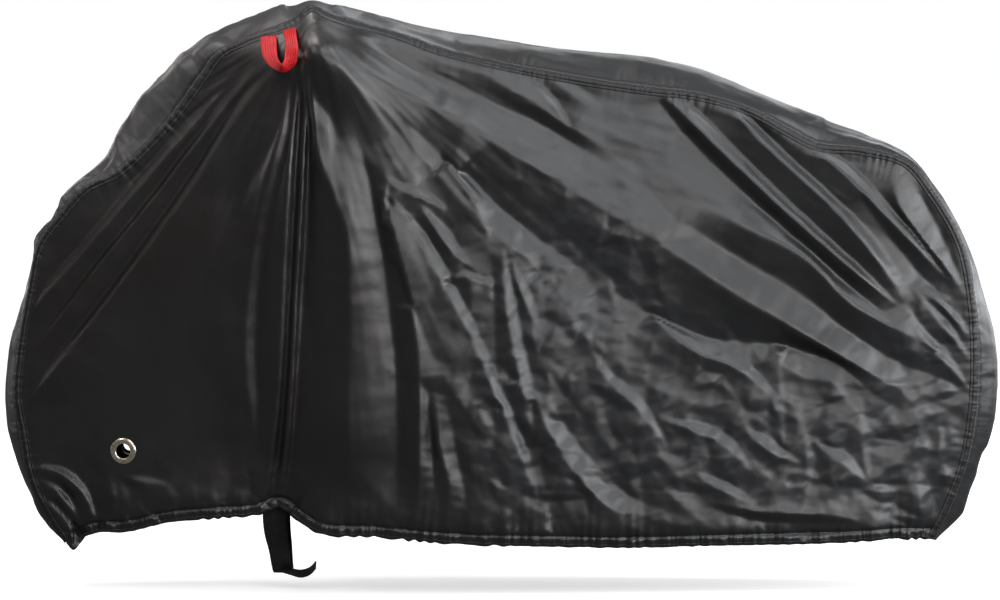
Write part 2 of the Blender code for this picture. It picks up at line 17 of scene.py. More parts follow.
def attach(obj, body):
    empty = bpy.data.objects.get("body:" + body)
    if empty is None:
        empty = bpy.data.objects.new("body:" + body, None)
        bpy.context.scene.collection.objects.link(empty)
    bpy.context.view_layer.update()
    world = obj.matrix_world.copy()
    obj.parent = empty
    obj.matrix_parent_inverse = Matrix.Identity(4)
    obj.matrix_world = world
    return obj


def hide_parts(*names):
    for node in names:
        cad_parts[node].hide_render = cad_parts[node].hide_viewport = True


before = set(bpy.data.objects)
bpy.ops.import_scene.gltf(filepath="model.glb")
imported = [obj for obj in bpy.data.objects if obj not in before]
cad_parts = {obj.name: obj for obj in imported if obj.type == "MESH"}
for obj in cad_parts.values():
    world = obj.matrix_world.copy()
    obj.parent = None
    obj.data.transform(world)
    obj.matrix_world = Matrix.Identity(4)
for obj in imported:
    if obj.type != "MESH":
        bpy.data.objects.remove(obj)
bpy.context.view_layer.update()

MM = 0.001
PIXEL = 1.8
MIDDLE_U = 500
MIDDLE_V = 300
GROUND_V = 590
TOP = Vector((-335.0, 0.0, 1054.0))
CLOTH = 2.0

SEAM = (
    # x, z, crown, half_width
    (-787, 85, 6, 46), (-819, 135, 14, 48), (-846, 189, 16, 50), (-866, 290, 26, 55),
    (-875, 344, 24, 57), (-869, 432, 21, 61), (-850, 540, 10, 66), (-828, 630, 7, 70),
    (-792, 677, 12, 75), (-743, 729, 19, 82), (-688, 756, 43, 88), (-630, 808, 60, 95),
    (-576, 868, 70, 102), (-526, 936, 56, 110), (-504, 967, 40, 115), (-455, 994, 34, 122),
    (-366, 1028, 28, 132), (-338, 1053, 7, 136), (-304, 1039, 17, 133), (-182, 1003, 22, 115),
    (-108, 976, 34, 108), (-36, 958, 40, 103), (108, 929, 47, 96), (281, 903, 55, 92),
    (347, 896, 47, 92), (461, 862, 34, 90), (522, 828, 45, 88), (565, 806, 50, 86),
    (652, 796, 29, 82), (731, 774, 13, 78), (783, 713, 13, 73), (832, 626, 14, 68),
    (853, 526, 25, 64), (859, 450, 38, 61), (854, 306, 42, 56), (842, 236, 31, 54),
    (812, 151, 27, 51), (783, 90, 8, 48),
)
FRONT_CORNER = 8
REAR_CORNER = 29
HEM = (
    # x, z, depth
    (-787, 85, 46), (-776, 70, 50), (-752, 94, 60), (-670, 106, 86), (-598, 124, 102),
    (-504, 133, 110), (-432, 139, 106), (-398, 150, 100), (-367, 130, 118), (-337, 113, 144),
    (-225, 103, 158), (-77, 90, 160), (81, 86, 158), (252, 83, 148), (360, 85, 138),
    (504, 86, 122), (616, 88, 108), (722, 92, 80), (783, 90, 48),
)
SUPPORTS = dict(
    # x, z, depth
    grip=(-329, 998, 214),
    brake_lever=(-350, 925, 202),
    grip_line_high=(-354, 770, 190),
    grip_line_middle=(-368, 560, 164),
    grip_line_low=(-384, 330, 136),
    beside_grip_line=(-306, 560, 178),
    beside_strap=(-318, 300, 164),
    front_rim=(-790, 342, 74),
    front_axle=(-580, 349, 104),
    fork=(-590, 610, 124),
    pedal=(-40, 270, 172),
    middle=(110, 600, 148),
    saddle_side=(325, 800, 112),
    rack_side=(640, 690, 98),
    rear_axle=(558, 349, 112),
    rear_rim=(770, 378, 80),
)

# Lines of the folds: crest, foot and way, and then u and v of each point. crest is how far the
# cloth stands out along the line, and foot is the same along a second line, which runs way pixels
# below it, or above it where way is negative. Where way is 0 there is no second line.
NEAR_FOLDS = dict(
    fan_1=(10, -3, -8, 225, 88, 175, 145, 140, 186, 100, 232, 68, 268, 20, 322),
    fan_2=(9, -4, -5, 267, 56, 240, 88, 200, 138, 150, 202, 100, 262, 34, 350),
    fan_3=(13, -4, -8, 276, 66, 240, 110, 200, 174, 160, 230, 100, 310, 60, 360, 24, 405),
    loop_edge=(9, -5, 10, 294, 76, 282, 126, 268, 178, 252, 270, 247, 350, 254, 440),
    left_soft=(6, -4, 26, 278, 72, 262, 110, 240, 150, 214, 190, 205, 260),
    pull_1=(12, -9, 7, 300, 55, 293, 150, 287, 260, 280, 380, 266, 503),
    pull_2=(12, -10, 6, 309, 75, 303, 200, 297, 290, 288, 430, 280, 503),
    grip_crest_1=(16, 0, 0, 315, 50, 314, 92, 321, 156, 335, 190, 346, 220, 350, 300, 350, 430,
        352, 495),
    grip_foot_1=(-14, 0, 0, 345, 90, 365, 150, 378, 215, 390, 290, 397, 350, 398, 508),
    grip_crest_2=(12, 0, 0, 385, 190, 400, 250, 414, 310, 420, 380, 418, 508),
    grip_foot_2=(-6, 0, 0, 428, 385, 431, 430, 436, 485),
    grip_crest_3=(8, 0, 0, 434, 385, 440, 440, 450, 490, 446, 518),
    belly_foot=(-9, 0, 0, 448, 400, 458, 450, 468, 505),
    smooth_crest=(6, 0, 0, 398, 262, 420, 320, 450, 380, 480, 425, 530, 490),
    crumple_edge=(8, -5, -9, 392, 195, 420, 235, 445, 280, 494, 385, 520, 450, 537, 492),
    column_foot=(-6, 0, 0, 490, 235, 495, 300, 497, 360, 500, 402),
    column_crest=(8, -5, -12, 502, 245, 505, 300, 512, 340, 522, 385, 530, 428),
    sliver=(7, -5, -10, 511, 262, 525, 300, 538, 328),
    long_crest=(10, 0, 0, 528, 385, 545, 418, 562, 450, 585, 480, 612, 504, 650, 511),
    long_foot=(-9, 0, 0, 548, 380, 560, 412, 580, 442, 605, 470, 632, 492, 668, 508),
    dark_facet=(7, -4, -9, 588, 342, 602, 368, 640, 408, 668, 447),
    sweep_1_crest=(7, 0, 0, 334, 9, 400, 35, 440, 54, 480, 68, 512, 88, 605, 146),
    sweep_1_foot=(-9, 0, 0, 335, 20, 370, 41, 450, 86, 500, 104, 545, 124, 600, 158),
    sweep_2_crest=(15, 0, 0, 372, 72, 430, 100, 500, 142, 580, 193, 660, 241, 740, 294, 820, 342,
        905, 390),
    sweep_2_foot=(-15, 0, 0, 405, 118, 440, 150, 500, 205, 555, 247, 600, 280, 640, 305, 700, 333,
        800, 346, 840, 362, 872, 390),
    band_4_crest=(9, 0, 0, 702, 203, 740, 222, 805, 254, 855, 304, 885, 320, 945, 355),
    band_4_foot=(-9, 0, 0, 690, 225, 730, 250, 810, 298, 850, 330, 890, 355, 965, 385),
    finger_foot=(-10, 0, 0, 656, 94, 680, 124, 712, 158, 750, 195, 850, 284, 888, 316),
    finger_crest=(13, 0, 0, 657, 88, 680, 110, 720, 148, 800, 222, 880, 289, 898, 303),
    finger_inner=(-6, 0, 0, 690, 102, 740, 152, 780, 192, 830, 238, 892, 296),
    saddle_1_crest=(10, 0, 0, 684, 76, 720, 96, 760, 138, 840, 213, 885, 268, 905, 300),
    saddle_1_foot=(-7, 0, 0, 712, 84, 740, 106, 780, 146, 870, 232, 918, 298),
    saddle_3=(7, -5, -10, 720, 92, 760, 112, 800, 138, 840, 168, 880, 208, 945, 275),
    facet_crest=(8, 0, 0, 893, 160, 897, 200, 922, 238, 950, 272, 968, 296),
    facet_foot=(-7, 0, 0, 910, 162, 925, 200, 942, 236, 965, 284),
    facet_shadow=(-9, 0, 0, 862, 196, 892, 236, 930, 282, 965, 322),
    rear_1=(8, -6, -9, 904, 303, 922, 335, 948, 362, 972, 392),
    rear_2=(6, -5, -8, 915, 290, 940, 320, 960, 345, 974, 362),
    rear_3=(5, -4, -8, 930, 290, 950, 312, 972, 338),
    low_1=(9, -6, -10, 655, 318, 690, 345, 735, 364, 778, 398),
    low_2=(9, -7, -11, 660, 415, 690, 426, 725, 442, 750, 470),
    low_3=(7, -5, -9, 694, 470, 725, 488, 757, 503),
    low_4=(8, -6, -12, 742, 426, 775, 452, 800, 462),
    low_5=(7, -5, -10, 812, 440, 850, 466, 868, 482),
    low_6=(4, -3, -8, 860, 398, 862, 440, 868, 480),
    low_8=(2, -2, -6, 777, 350, 779, 400, 781, 442),
    low_9=(3, -3, 6, 941, 418, 942, 445, 937, 474),
    low_10=(3, -3, -8, 800, 410, 806, 450, 806, 495),
    hem_shadow=(7, -8, 9, 706, 498, 760, 508, 820, 512, 858, 518),
    gather_foot=(-10, 0, 0, 908, 478, 893, 505, 886, 528),
    gather_crest=(11, 0, 0, 914, 472, 922, 500, 923, 530),
    gather_side=(-6, 0, 0, 928, 474, 936, 500, 934, 528),
    nose_1=(9, -7, -8, 20, 475, 40, 468, 60, 474, 76, 487, 97, 527),
    nose_2=(8, -7, -7, 32, 478, 50, 487, 66, 506, 82, 530),
    nose_3=(7, -6, -7, 26, 492, 45, 505, 60, 520, 72, 538),
    eyelet_facet=(7, -5, -24, 104, 472, 110, 492, 117, 514),
    eyelet_shadow=(-7, 5, 8, 106, 462, 130, 470, 172, 480),
    crease_1=(4, -3, -6, 318, 42, 340, 60, 360, 80, 400, 115),
    crease_3=(4, -3, -5, 320, 98, 328, 118, 339, 147),
    crease_5=(5, -6, 5, 388, 178, 386, 198, 384, 218),
    crease_6=(6, -5, -8, 385, 173, 400, 185, 425, 195, 447, 207),
    crease_7=(7, -6, -9, 420, 200, 440, 230, 455, 250, 472, 264),
    crease_8=(5, -4, -7, 450, 160, 470, 190, 492, 240),
    crease_9=(4, -4, -6, 445, 280, 462, 272, 490, 282),
    crease_10=(5, -4, 7, 523, 488, 550, 489, 585, 490),
    tuck_1=(5, -5, -7, 525, 78, 545, 96, 567, 120),
    tuck_2=(5, -5, -8, 545, 74, 572, 90, 602, 109),
)
FAR_FOLDS = dict(
    fan_1=(9, -6, 12, 250, 62, 200, 115, 120, 195, 40, 270),
    fan_2=(12, -8, 16, 275, 68, 225, 150, 150, 250, 40, 400),
    pull_1=(12, -9, 9, 300, 60, 292, 200, 285, 350, 268, 500),
    pull_2=(11, -8, 9, 316, 70, 308, 220, 300, 360, 284, 500),
    grip_fall_1=(10, -9, -40, 330, 60, 345, 200, 352, 350, 356, 500),
    grip_fall_2=(9, -8, -30, 350, 90, 395, 220, 425, 360, 430, 510),
    sweep_1=(11, -9, -24, 345, 30, 440, 84, 540, 140, 640, 190),
    sweep_2=(15, -13, 40, 372, 78, 480, 140, 600, 215, 740, 300, 860, 372),
    sweep_3=(10, -8, 26, 420, 170, 520, 270, 640, 370, 760, 440),
    belly=(10, -9, -26, 470, 300, 520, 390, 580, 460, 640, 500),
    saddle_1=(11, -9, 14, 690, 84, 760, 150, 840, 225, 900, 300),
    saddle_2=(10, -7, -14, 712, 92, 790, 140, 870, 205, 940, 280),
    rear_1=(9, -8, 16, 700, 200, 790, 260, 880, 330, 960, 380),
    low_1=(8, -7, -12, 660, 410, 720, 440, 770, 480),
    low_2=(8, -7, -12, 800, 380, 840, 440, 862, 500),
    rear_gather=(10, -8, 12, 918, 470, 910, 500, 896, 530),
    nose=(9, -7, -10, 22, 475, 50, 474, 74, 492, 90, 528),
)
FOLD_STEP = 17.0  # between the points of a fold's line
FOLD_WOBBLE = 0.7
FOLD_TAPER = 90.0  # a fold rises and dies out over about this length
FOLD_REACH = 120.0
FOLD_LOOSE = 50.0
NETS = (
    # spacing of the loose corners, the roughness they have from and to, clear of the folds
    (84.0, 0.0, 0.35, 30.0),
    (54.5, 0.35, 0.6, 20.0),
    (25.0, 0.6, 2.0, 11.0),
)
NET_CALM_RISE = 0.7
NET_ROUGH_RISE = 4.6

CRUMPLED = (
    # strength, u, v, and the width and height in pixels
    (1.0, 575, 290, 100, 130),
    (1.0, 520, 420, 80, 110),
    (1.0, 790, 440, 190, 85),
    (0.55, 935, 330, 60, 140),
    (0.5, 50, 480, 60, 60),
    (0.35, 405, 210, 50, 80),
)
SEAM_CALM = 22.0  # folds die out over this distance from the seam and the hem
HEM_TUCK = 15.0  # how far the elastic draws the hem in
HEM_TUCK_HEIGHT = 24.0

EYELET_AT = (-679.0, 254.0)
FLAT_RADIUS = 34.0  # the cloth is flat this far around an eyelet
FLAT_BLEND = 34.0
GRIP_AT = (-335.0, 1035.0)

HEM_BAND = 19.0  # the height of the casing over the elastic
HEM_TURNS = ((5.0, 14.0), (6.0, 8.0), (4.6, 3.0), (2.2, 0.4))  # inwards and up, under the hem
HEM_DENSE = 0.042  # the share of a panel's height with the finer rows, above the hem
STRAP_ROW = 7  # of HEM
BAND_PROBE = 90.0  # the search for the cloth starts this far off it
BAND_PROBE_REACH = 0.18
BAND_RISE = 1.5
BAND_STITCHES = (-2.2, 6.0)
SEAM_BAND = (-8.0, -6.5, -4.5, -2.5, -1.0, 1.0, 2.5, 4.0, 5.5, 7.5, 9.5, 11.0)
STRIP_TAUT = 0.3  # the share of the creases that is left along the strip's middle
STRIP_CRUMPLED_AT = 930.0
STRIP_CRUMPLED_REACH = 420.0

EYELET_CUT = 18.5  # the cloth ends here, under the flange
EYELET_STEPS = 72
EYELET_PROFILE = (
    # radius, height over the cloth's inner face
    (13.0, 2.0), (13.1, 3.1), (13.6, 4.0), (14.6, 4.7), (16.2, 5.2), (18.2, 5.3), (20.2, 4.9),
    (22.0, 4.1), (23.4, 3.1), (24.0, 2.3), (23.0, 2.2), (14.4, 2.2), (14.4, -0.3), (21.5, -0.3),
    (21.5, -1.5), (13.0, -1.5),
)

WEBBING = 1.8  # thickness
LOOP_SMOOTHING = 6
LOOP = (
    # x, z, width, lean, clear
    (-413, 999, 32, 0, 0.3), (-412, 985, 33, 0, 1.5), (-409, 968, 32, 8, 5.0),
    (-398, 950, 26, 35, 8.0), (-385, 943, 22, 50, 10.0), (-374, 951, 22, 46, 9.0),
    (-369, 972, 26, 22, 6.0), (-371, 994, 27, 6, 2.0), (-376, 1012, 27, 0, 0.3),
)
STRAP_X = -407.0
STRAP_TOP = 168.0
STRAP_FREE = 146.0
STRAP_WIDTH = 44.0
STRAP_HALF = (
    # x, depth, z, width
    (-405, 64, 100, 42), (-400, 51, 70, 38), (-397, 41, 44, 36), (-395, 26, 30, 36),
    (-394, 0, 26, 36),
)
TAIL = (
    # x, depth, z, width, lean
    (-396, 38, 33.5, 34, 8), (-378, 40, 30, 33, 16), (-360, 42, 27, 32, 22),
    (-345, 43, 32, 31, 24), (-334, 44, 43, 30, 26),
)
WARM = (1.0, 0.945, 0.915)
COOL = (0.94, 0.97, 1.0)
LAMPS = (
    # azimuth, elevation, power, colour
    # from the right and the front
    (80, 8, 42, COOL), (60, 8, 38, COOL), (40, 8, 24, WARM), (80, 50, 24, COOL),
    (20, 50, 24, COOL), (20, 28, 19, COOL), (60, 50, 14, COOL), (80, 28, 13, COOL),
    (105, 8, 13, COOL), (0, 88, 9, COOL), (20, 8, 6, WARM), (-5, 28, 5, WARM),
    # from the left
    (-50, 42, 22, WARM), (-105, 8, 16, WARM), (-105, 50, 20, WARM), (-105, 72, 40, WARM),
    # from behind
    (165, 42, 15, COOL), (160, 22, 12, COOL), (125, 8, 30, COOL), (-150, 10, 16, WARM),
)
LAMP_SIZE = 1.4
LAMP_DISTANCE = 4.0
LAMP_CENTRE = Vector((0.335, 0.0, -0.5))
WORLD = 0.12  # strength of the surround's light
FLOOR_RADIUS = 60.0  # metres
CAMERA_DISTANCE = 9.0  # metres from the cover's middle plane
CAMERA_HEIGHT = 950.0
NEAR_SIDE = 0.08  # the depth, in metres, at which a pixel is PIXEL wide


def place(u, v):
    """A pixel of the picture in the side elevation, in millimetres."""
    return (u - MIDDLE_U) * PIXEL, (GROUND_V - v) * PIXEL


def row_distances(table):
    """The distance along a table's first two columns, at each of its rows."""
    rows = np.array(table, float)
    lengths = np.hypot(np.diff(rows[:, 0]), np.diff(rows[:, 1]))
    return np.concatenate([[0.0], np.cumsum(lengths)])


def smooth_rows(table, at):
    """The rows of a table, read at distances along its first two columns, as a smooth curve."""
    rows = np.array(table, float)
    along = row_distances(rows)
    slope = np.gradient(rows, along, axis=0)
    i = np.clip(np.searchsorted(along, at, side="right") - 1, 0, len(rows) - 2)
    step = along[i + 1] - along[i]
    t = ((at - along[i]) / step)[:, None]
    step = step[:, None]
    return (
        (2 * t**3 - 3 * t**2 + 1) * rows[i]
        + (t**3 - 2 * t**2 + t) * step * slope[i]
        + (3 * t**2 - 2 * t**3) * rows[i + 1]
        + (t**3 - t**2) * step * slope[i + 1]
    )


def refine(table, count):
    """A table's smooth curve as evenly spaced rows."""
    return smooth_rows(table, np.linspace(0, row_distances(table)[-1], count))


def unit(rows):
    return rows / np.linalg.norm(rows, axis=1, keepdims=True)


def seam_points(first_row, last_row, shares):
    first, last = row_distances(SEAM)[[first_row, last_row]]
    return smooth_rows(SEAM, first + (last - first) * shares)


def panel_sides(across, up):
    """The four sides of a side panel as x, z and depth: hem, top, front and rear."""
    keep = [0, 1, 3]
    return (
        smooth_rows(HEM, row_distances(HEM)[-1] * across),
        seam_points(FRONT_CORNER, REAR_CORNER, across)[:, keep],
        seam_points(0, FRONT_CORNER, up)[:, keep],
        seam_points(-1, REAR_CORNER, up)[:, keep],
    )


def between_sides(hem, top, front, rear, across, up):
    """Fills a panel between its four sides, as rows, columns and values."""
    a = across[None, :, None]
    b = up[:, None, None]
    low = (1 - a) * (1 - b) * hem[0] + a * (1 - b) * hem[-1]
    corners = low + (1 - a) * b * top[0] + a * b * top[-1]
    edges = (1 - b) * hem[None] + b * top[None] + (1 - a) * front[:, None] + a * rear[:, None]
    return edges - corners


def spread_depth(x, z):
    """The depth of cloth held by the seams, the hem and the bicycle, without its folds."""
    soft = 60.0
    seam = np.array(SEAM, float)[:, [0, 1, 3]]
    held = np.vstack([seam, HEM[1:-1], list(SUPPORTS.values())])
    span = np.hypot(held[:, None, 0] - held[None, :, 0], held[:, None, 1] - held[None, :, 1])
    weights = np.linalg.solve(np.sqrt(span**2 + soft**2), held[:, 2])
    total = np.zeros_like(x)
    for (at_x, at_z, _), weight in zip(held, weights):
        total += weight * np.sqrt((x - at_x) ** 2 + (z - at_z) ** 2 + soft**2)
    return total


def nearest_on_line(x, z, line):
    """For each point: its distance from a line, and the share of the way along it."""
    steps = np.diff(line, axis=0)
    lengths = np.hypot(steps[:, 0], steps[:, 1])
    starts = np.concatenate([[0.0], np.cumsum(lengths)[:-1]])
    best = np.full(x.shape, np.inf)
    along = np.zeros(x.shape)
    for a, run, length, start in zip(line, steps, lengths, starts):
        away_x, away_z = x - a[0], z - a[1]
        part = np.clip((away_x * run[0] + away_z * run[1]) / length**2, 0, 1)
        gap = np.hypot(away_x - part * run[0], away_z - part * run[1])
        nearer = gap < best
        best = np.where(nearer, gap, best)
        along = np.where(nearer, start + part * length, along)
    return best, along / lengths.sum()


def beside(line, way):
    """A line's copy at a distance from it, below it where the distance is positive."""
    run = unit(np.gradient(line, axis=0))
    turn = -np.sign(line[-1, 0] - line[0, 0] + 1e-9)
    return line + turn * way * np.stack([-run[:, 1], run[:, 0]], axis=1)


def fold_lines(folds, chance):
    """Each fold's crest and foot as a line in millimetres with the heights along it."""
    for crest, foot, way, *pixels in folds.values():
        points = np.stack(place(*np.array(pixels).reshape(-1, 2).T), axis=1)
        length = row_distances(points)[-1]
        count = max(5, int(length / FOLD_STEP))
        line = refine(points, count)
        share = np.linspace(0, 1, count)
        taper = min(max(length / FOLD_TAPER, 2.2), 8.0)
        swell = np.clip(share * taper, 0, 1) * np.clip((1 - share) * taper, 0, 1)
        both = ((crest, 0.0), (foot, way * PIXEL)) if way else ((crest, 0.0),)
        for height, gap in both:
            wobble = chance.uniform(-FOLD_WOBBLE, FOLD_WOBBLE, (count, 2)) * swell[:, None]
            uneven = 1 + chance.uniform(-0.07, 0.07, count)
            drawn_in = gap * (0.3 + 0.7 * swell[:, None])
            yield beside(line, drawn_in) + wobble, height * swell * uneven


def loose_rise(x, z, lines):
    """The height of cloth between the folds' lines: theirs, weighed by nearness."""
    total = np.zeros_like(x)
    weights = np.full_like(x, 1 / FOLD_LOOSE**2)
    for line, heights in lines:
        gap, share = nearest_on_line(x, z, line)
        weight = 1 / (gap**2 + 9.0) * np.clip(1 - gap / FOLD_REACH, 0, 1)
        total += np.interp(share, np.linspace(0, 1, len(line)), heights) * weight
        weights += weight
    return total / weights


def net_corners(side, net, lines, chance):
    """Loose corners of the crease net, where the cloth's roughness lies between two values."""
    spacing, least, most, clear = net
    seam = np.array(SEAM, float)[:, :2]
    axes = [np.arange(*ends, spacing) for ends in zip(seam.min(axis=0), seam.max(axis=0))]
    grid = np.stack(np.meshgrid(*axes), axis=-1).reshape(-1, 2)
    grid += chance.uniform(-0.42, 0.42, grid.shape) * spacing
    rough = roughness_of_cloth(grid[:, 0], grid[:, 1], side)
    keep = (rough >= least) & (rough < most)
    for line, _ in lines:
        keep &= nearest_on_line(grid[:, 0], grid[:, 1], line)[0] > clear
    return grid[keep], rough[keep]


def crease_net(x, z, folds, seed, side):
    """Flat facets of cloth between creases: the folds' lines, joined by loose corners."""
    chance = np.random.default_rng(seed)
    lines = list(fold_lines(folds, chance))
    places, heights, edges = [], [], []
    for line, rise in lines:
        start = len(heights)
        places.extend(line.tolist())
        heights.extend(rise.tolist())
        edges.extend((start + i, start + i + 1) for i in range(len(line) - 1))
    for net in NETS:
        corners, rough = net_corners(side, net, lines, chance)
        loose = NET_CALM_RISE + (NET_ROUGH_RISE - NET_CALM_RISE) * rough
        rise = loose_rise(*corners.T, lines) + loose * chance.uniform(-1, 1, len(corners))
        places.extend(corners.tolist())
        heights.extend(rise.tolist())
    (west, south), (east, north) = np.min(places, axis=0) - 200, np.max(places, axis=0) + 200
    places.extend([(west, south), (east, south), (east, north), (west, north)])
    heights.extend([0.0] * 4)
    flat = [Vector(p) for p in places]
    verts, _, faces, sources, _, _ = geometry.delaunay_2d_cdt(flat, edges, [], 0, 1e-3, True)
    corners = []
    for vert, source in zip(verts, sources):
        near = source or np.argsort(np.hypot(*(np.array(places) - tuple(vert)).T))[:4]
        corners.append(Vector((vert.x, vert.y, float(np.mean([heights[i] for i in near])))))
    return heights_under(x, z, corners, faces)


def heights_under(x, z, corners, faces):
    """The height of a net of flat facets at each place."""
    tree = BVHTree.FromPolygons(corners, faces)
    down = Vector((0, 0, -1))
    hits = (tree.ray_cast(Vector((a, b, 100)), down)[0] for a, b in zip(x.ravel(), z.ravel()))
    return np.array([0.0 if hit is None else hit.z for hit in hits]).reshape(x.shape)


def softened(values, times):
    """A grid of values with its creases rounded over a few cells."""
    for _ in range(times):
        padded = np.pad(values, 1, mode="edge")
        rows = (padded[:-2] + 2 * padded[1:-1] + padded[2:]) / 4
        values = (rows[:, :-2] + 2 * rows[:, 1:-1] + rows[:, 2:]) / 4
    return values


def facet_field(x, z, seed):
    """Random creased facets, about one unit across, with heights between -1 and 1."""
    axes = [np.arange(math.floor(way.min()) - 2, math.ceil(way.max()) + 3) for way in (x, z)]
    grid = np.stack(np.meshgrid(*axes))
    chance = np.random.default_rng(seed)
    points = (grid + chance.uniform(-0.45, 0.45, grid.shape)).reshape(2, -1).T
    heights = chance.uniform(-1, 1, len(points))
    flat = [Vector(p) for p in points]
    _, _, faces, order, _, _ = geometry.delaunay_2d_cdt(flat, [], [], 0, 1e-7)
    corners = [Vector((*points[o[0]], heights[o[0]])) for o in order]
    return heights_under(x, z, corners, faces)


def patch(x, z, u, v, wide, tall):
    """A soft weight: 1 at a pixel, fading out over a width and a height in pixels."""
    at_x, at_z = place(u, v)
    return np.exp(-(((x - at_x) / (wide * PIXEL)) ** 2) - ((z - at_z) / (tall * PIXEL)) ** 2)


def roughness_of_cloth(x, z, side):
    """How crumpled the cloth is at each place, from 0, drawn smooth, to 1."""
    if side > 0:
        return np.clip(0.35 + 0.4 * facet_field(x / 260.0, z / 220.0, 77), 0.1, 1)
    rough = sum(strength * patch(x, z, *area) for strength, *area in CRUMPLED)
    return np.clip(0.12 + rough, 0, 1)


def crumple(x, z, rough, seed, side):
    """Small creases: long ones that fan out from the grip, and short ones where it is crumpled."""
    grip_x, grip_z = GRIP_AT
    reach = np.hypot(x - grip_x, z - grip_z)
    turn = np.arctan2(z - grip_z, x - grip_x)
    fan = facet_field(reach / 170.0, turn * 19.0, seed)
    fine_fan = facet_field(reach / 70.0, turn * 40.0, seed + 1)
    small = facet_field(x / 19.0 - z / 60.0, z / 17.0, seed + 3)
    if side > 0:
        return 3.0 * fan + 1.2 * fine_fan + 1.6 * rough * small
    middle = facet_field(x / 46.0 + z / 90.0, z / 34.0, seed + 5)
    calm = 1 - 0.85 * patch(x, z, 170, 380, 130, 130) - 0.5 * patch(x, z, 350, 330, 50, 150)
    calm = np.clip(calm, 0.15, 1)
    return calm * (1.2 * fan + 0.8 * fine_fan) + rough**1.5 * (2.6 * small + 3.4 * middle)


def eyelet_plane(x, z):
    """The flat piece of cloth that an eyelet is set in: its depth at x, z, and its two slopes."""
    near = 12.0
    at_x, at_z = EYELET_AT
    steps = np.array([(0, 0), (near, 0), (-near, 0), (0, near), (0, -near)])
    depth = spread_depth(*(steps + EYELET_AT).T)
    slope_x = (depth[1] - depth[2]) / (2 * near)
    slope_z = (depth[3] - depth[4]) / (2 * near)
    return depth[0] + slope_x * (x - at_x) + slope_z * (z - at_z), slope_x, slope_z


def waves(along, pitch, seed):
    """An uneven row of gathers: a wave whose pitch and strength wander."""
    length = float(along.max()) + 1.0
    at = np.linspace(0, length, max(8, int(length / pitch * 1.5)))
    wander = [noise.noise(Vector((a / pitch / 2.3, seed * 7.1, 0.3))) for a in at]
    strength = [noise.noise(Vector((a / pitch / 3.1, seed * 3.7, 9.3))) for a in at]
    phase = along / pitch + 1.8 * np.interp(along, at, wander)
    return np.sin(2 * math.pi * phase) * (0.75 + 1.2 * np.interp(along, at, strength))


def seam_pucker(along, from_seam, seed, reach=16.0):
    """Small gathers that the stitching draws into the cloth beside the seam."""
    fade = np.exp(-from_seam / reach) * np.clip(from_seam / 4.0, 0.3, 1)
    uneven = 0.35 + 1.3 * np.clip(facet_field(along / 90.0, from_seam * 0, seed + 5), 0, 1)
    return (1.7 * waves(along, 24.0, seed) + 1.2 * waves(along, 12.5, seed + 2)) * fade * uneven


def hem_pull(along, length):
    """How strongly the elastic gathers the hem: most at its two ends and at the strap."""
    ends = 1.3 * np.exp(-along / 80.0) + 1.1 * np.exp(-(length - along) / 90.0)
    strap = 0.9 * np.exp(-(((along - row_distances(HEM)[STRAP_ROW]) / 50.0) ** 2))
    return 1.0 + ends + strap


def hem_shape(along, from_hem, length, seed):
    """The hem: a rounded casing over the elastic, its groove of stitching, and its gathers."""
    casing = 5.0 * np.sin(np.clip(from_hem / HEM_BAND, 0, 1) * math.pi) ** 0.7
    groove = -2.6 * np.exp(-(((from_hem - HEM_BAND - 1.5) / 3.0) ** 2))
    fine = waves(along, 10.5, seed + 3) * np.exp(-((from_hem / 19.0) ** 2))
    broad = waves(along, 27.0, seed + 4) * np.exp(-from_hem / 34.0)
    wide = waves(along, 64.0, seed + 6) * np.exp(-from_hem / 70.0)
    creases = facet_field(along / 26.0, from_hem / 24.0, seed + 9) * np.exp(-from_hem / 55.0)
    ruffles = facet_field(along / 12.0, from_hem / 13.0, seed + 12) * np.exp(-from_hem / 26.0)
    gathers = fine + 1.8 * broad + 1.6 * wide + 3.6 * creases + 3.4 * ruffles
    return casing + groove + hem_pull(along, length) * gathers


